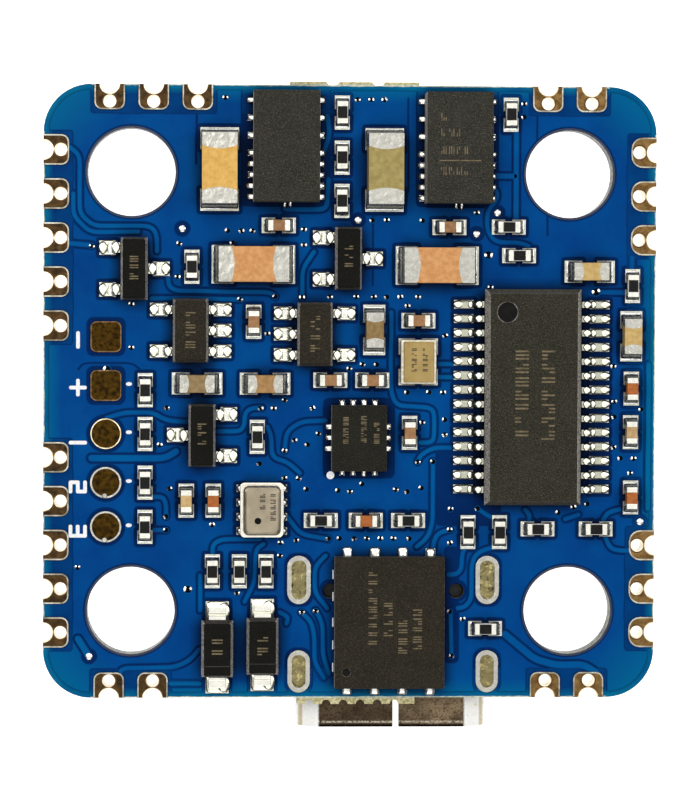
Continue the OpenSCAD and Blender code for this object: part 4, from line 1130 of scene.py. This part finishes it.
def digit(shape, z, figure, x, y, w, h, pen):
    """A plain seven-bar figure with its top to the right, so that it reads down the board's edge."""
    lit = {1: "bc", 2: "abged", 3: "abgcd"}[figure]
    level_bar, upright_bar = (w + pen, pen), (pen, h / 2 + pen)
    spots = {"a": (0, h / 2, *level_bar), "g": (0, 0, *level_bar), "d": (0, -h / 2, *level_bar),
             "b": (w / 2, h / 4, *upright_bar), "c": (w / 2, -h / 4, *upright_bar),
             "e": (-w / 2, -h / 4, *upright_bar)}
    lit = [spots[key] for key in lit]
    bars(shape, z, *((x + up, y - right, tall, wide) for right, up, wide, tall in lit))


def white_print():
    """Generic marks beside the wire pads (minus, plus, 1, 2, 3), and the dots and lines beside two chips."""
    ink, z = Shape(), TOP + FILM
    pads = sorted((middle(b) for b in WIRE_PADS), key=lambda c: -c.y)
    column, pen, tall = -12.42, 0.17, 0.66
    bars(ink, z, (column, pads[0].y - 0.15, pen, 0.8))
    bars(ink, z, (column, pads[1].y - 0.1, pen, 0.8), (column, pads[1].y - 0.1, 0.8, pen))
    for figure, c in zip((1, 2, 3), pads[2:]):
        digit(ink, z, figure, column, c.y - 0.2, 0.42, tall, pen)
    for c in pads[1:]:
        dot = [(c.x + 1.05 + x, c.y + 0.07 + y * 0.62) for x, y in circle(0, 0, 0.14, 16)]
        ink.prism(dot, z - 0.01, z + 0.008)
    flash_lo, flash_hi = box_mm("flash_chip")
    motion_lo = box_mm("motion_sensor")[0]
    ink.prism(circle(flash_lo.x + 0.33, flash_lo.y + 0.15, 0.2, 20), z - 0.01, z + 0.03)
    ink.prism(circle(motion_lo.x - 0.03, motion_lo.y - 0.22, 0.18, 20), z - 0.01, z + 0.03)
    for k in range(5):
        bars(ink, z, (flash_lo.x - 0.06, flash_hi.y - 0.9 - k * 1.05 + rng.uniform(-0.1, 0.1), 0.05, 0.42))
    piece("white_print", ink, INK)


# Rows of strokes where a maker marks a part: node, way the row runs, then for each row its offset from the
# part's middle across the row, its first place along the row, how many places, and their height.
CHIP_ROWS = (
    ("osd_chip", "y", (-0.55, 2.1, 7, 0.62), (0.65, 2.1, 7, 0.62)),
    ("flash_chip", "y", (-0.77, 2.3, 9, 0.4), (-0.07, 0.9, 4, 0.42), (0.6, 0.1, 4, 0.42),
     (1.27, 0.6, 5, 0.42)),
    ("power_module_right", "x", (1.36, -0.85, 1, 0.36), (0.66, -0.85, 3, 0.36), (-0.14, -0.85, 4, 0.36),
     (-1.07, -0.85, 4, 0.36)),
    ("motion_sensor", "y", (-0.62, 0.95, 5, 0.26), (0.2, 1.0, 5, 0.26), (0.78, 0.7, 4, 0.26)),
)
LID_ROWS = (
    ("barometer_lid", "y", (0.5, 0.75, 5, 0.26), (0.02, 0.75, 3, 0.26)),
    ("osd_crystal_lid", "y", (-0.22, 0.6, 5, 0.24), (0.28, 0.6, 5, 0.24)),
)
SMALL_ROWS = ("transistors", 3, 0.4), ("regulators", 4, 0.45), ("diodes", 2, 0.5)


def stroke_row(shape, box, way, across, start, count, tall):
    """One row of places on a part, with two or three thin strokes in each."""
    pen, c, z = max(0.045, tall * 0.13), middle(box), box[1].z
    for k in range(count):
        for j in range(2 + rng.randrange(2)):
            place = (0.98 * k + 0.27 * j) * tall
            high = tall * rng.choice((1.0, 1.0, 0.45))
            aside = across + (tall - high) / 2 * rng.choice((-1, 1))
            if way == "y":
                bars(shape, z, (c.x + aside, c.y + start - place, high, pen))
            else:
                bars(shape, z, (c.x + start + place, c.y + aside, pen, high))


def mark_rows(shape, table):
    for node, way, *rows in table:
        for row in rows:
            stroke_row(shape, box_mm(node), way, *row)


def chip_marks():
    """Generic strokes, where a chip has its maker's print, and a bar under the widest row."""
    marks, dark = Shape(), Shape()
    mark_rows(marks, CHIP_ROWS)
    box = box_mm("power_module_right")
    bars(marks, box[1].z, (middle(box).x, middle(box).y - 0.6, 1.9, 0.05))
    for node, count, tall in SMALL_ROWS:
        for box in islands(node):
            stroke_row(marks, box, "y", 0, count * tall * 0.45, count, tall)
    piece("chip_marks", marks, ETCH)
    mark_rows(dark, LID_ROWS)
    piece("lid_marks", dark, DARK_INK)


def pin_one_floors():
    """The dark floor of the mark at a chip's first pin, and a dark plug of painted shade inside the sensor's
    vent.
    """
    floors = Shape()
    for node, dx, dy, r in (("osd_chip", -1.22, 3.88, 0.45), ("flash_chip", -1.97, -2.25, 0.18)):
        box = box_mm(node)
        z = box[1].z
        floors.prism(circle(middle(box).x + dx, middle(box).y + dy, r, 32), z - 0.035, z - 0.02)
    # painted shade: a dark plug fills the sensor's vent
    lo, hi = box_mm("barometer_lid")
    c = middle((lo, hi))
    floors.prism(circle(c.x - 0.19, c.y - 0.46, 0.16), lo.z - 0.01, hi.z - 0.12)
    piece("pin_one_floors", floors, PIN_MARK_AND_VENT_SHADE)


def shell_seam():
    """The butt joint that closes the connector's shell, a little below its upper face, drawn as a near-white
    mirror strip: a painted highlight.
    """
    lo, hi = box_mm("usb_shell")
    x, half, front, long, top = middle((lo, hi)).x + 0.2, 0.15, lo.y + 0.03, 5.6, -0.06
    strip = Shape()
    strip.prism([(x - half, front), (x + half, front), (x + half, front + long), (x - half, front + long)],
                top - 0.2, top)
    piece("shell_seam", strip, SEAM_HIGHLIGHT)


def cathode_lines():
    """A fine line across each diode near one end."""
    lines = Shape()
    for lo, hi in islands("diodes"):
        bars(lines, hi.z, ((lo.x + hi.x) / 2, lo.y + 0.55, (hi.x - lo.x) * 0.86, 0.045))
    piece("cathode_lines", lines, LINE_GREY)


def termination_lips():
    """The metal of the larger capacitors' ends runs out over the ceramic in a shallow bow."""
    lips = Shape()
    for node, bow in (("large_capacitor_ends", 0.13), ("filter_capacitor_ends", 0.08)):
        ends = islands(node)
        for part in ends:
            axis, sign = way_in(part, ends)
            edge = part[int(sign > 0)][axis]
            low, high = part[0][1 - axis] + 0.04, part[1][1 - axis] - 0.04
            steps = [k / 12 for k in range(13)]
            outline = [(edge + sign * bow * math.sin(math.pi * t), low + (high - low) * t) for t in steps]
            outline += [(edge - sign * 0.05, high), (edge - sign * 0.05, low)]
            if axis == 1:
                outline = [(x, y) for y, x in outline]
            lips.prism(upright(outline), part[1].z - 0.02, part[1].z + 0.006)
    piece("termination_lips", lips, TIN)


pad_rims()
wire_pad_rims()
hole_rims()
white_print()
chip_marks()
pin_one_floors()
shell_seam()
cathode_lines()
termination_lips()


# ---------- the room ----------

PANELS = (                                      # azimuth, elevation, width and height, power
    ("key_left", 150, 52, (0.16, 0.34), 0.385),
    ("fill_right", 15, 48, (0.14, 0.24), 0.26),
    ("front", 268, 44, (0.20, 0.2), 0.21),
    ("rear", 88, 46, (0.20, 0.2), 0.21),
)


def floor_and_lights():
    scene = bpy.context.scene
    w, z = 3.0, cad_lo.z
    mesh = bpy.data.meshes.new("floor")
    mesh.from_pydata([(-w, -w, z), (w, -w, z), (w, w, z), (-w, w, z)], [], [[0, 1, 2, 3]])
    floor = bpy.data.objects.new("floor", mesh)
    scene.collection.objects.link(floor)
    m = Nodes("pale_floor")
    m.set(Base_Color=m.ramp(m.noise(40), [(0.3, 0.86), (0.7, 0.88)]), Roughness=0.6,
          Emission_Color=(1, 1, 1, 1), Emission_Strength=1.0)
    mesh.materials.append(m.material)

    world = bpy.data.worlds.new("studio")
    scene.world = world
    world.use_nodes = True
    tree = world.node_tree
    kinds = "TexCoord", "SeparateXYZ", "ValToRGB"
    place, split, ramp = (tree.nodes.new("ShaderNode" + kind) for kind in kinds)
    tree.links.new(place.outputs["Generated"], split.inputs[0])
    tree.links.new(split.outputs[2], ramp.inputs["Fac"])
    tree.links.new(ramp.outputs["Color"], tree.nodes["Background"].inputs["Color"])
    fill_ramp(ramp.color_ramp, [(0.0, 0.2), (0.3, 0.02), (0.82, 0.05), (0.965, 1.15)])
    tree.nodes["Background"].inputs["Strength"].default_value = 1.0

    for name, azimuth, elevation, size, power in PANELS:
        light = bpy.data.lights.new(name, "AREA")
        light.shape, light.energy = "RECTANGLE", power
        light.size, light.size_y = size
        obj = bpy.data.objects.new(name, light)
        a, e = math.radians(azimuth), math.radians(elevation)
        obj.location = Vector((math.cos(a) * math.cos(e), math.sin(a) * math.cos(e), math.sin(e))) * 0.3
        obj.rotation_mode = "QUATERNION"
        obj.rotation_quaternion = obj.location.to_track_quat("Z", "Y")
        scene.collection.objects.link(obj)


def camera():
    """Nearly straight above the board, a little to the left and to the rear of its middle, rear edge up."""
    data = bpy.data.cameras.new("camera")
    obj = bpy.data.objects.new("camera", data)
    bpy.context.scene.collection.objects.link(obj)
    frame_height = 36.55                        # what the view takes in at the board's upper face
    middle_of_view = Vector((-0.02, -0.36, TOP))
    roll = math.radians(0.22)
    obj.location = Vector((-6.5, 4.2, TOP + 130)) * MM
    data.shift_x, data.shift_y = 0.04, -0.03
    aim = middle_of_view - Vector((data.shift_x, data.shift_y, 0)) * frame_height
    back = obj.location - aim * MM
    right = Vector((-math.sin(roll), math.cos(roll), 0)).cross(back).normalized()
    up = back.normalized().cross(right)
    obj.rotation_mode = "QUATERNION"
    obj.rotation_quaternion = Matrix((right, up, back.normalized())).transposed().to_quaternion()
    data.sensor_width = 36.0
    data.lens = data.sensor_width * back.length / MM / frame_height
    data.clip_start, data.clip_end = 0.005, 20
    bpy.context.scene.camera = obj


floor_and_lights()
camera()
bpy.context.scene.view_settings.view_transform = "Standard"
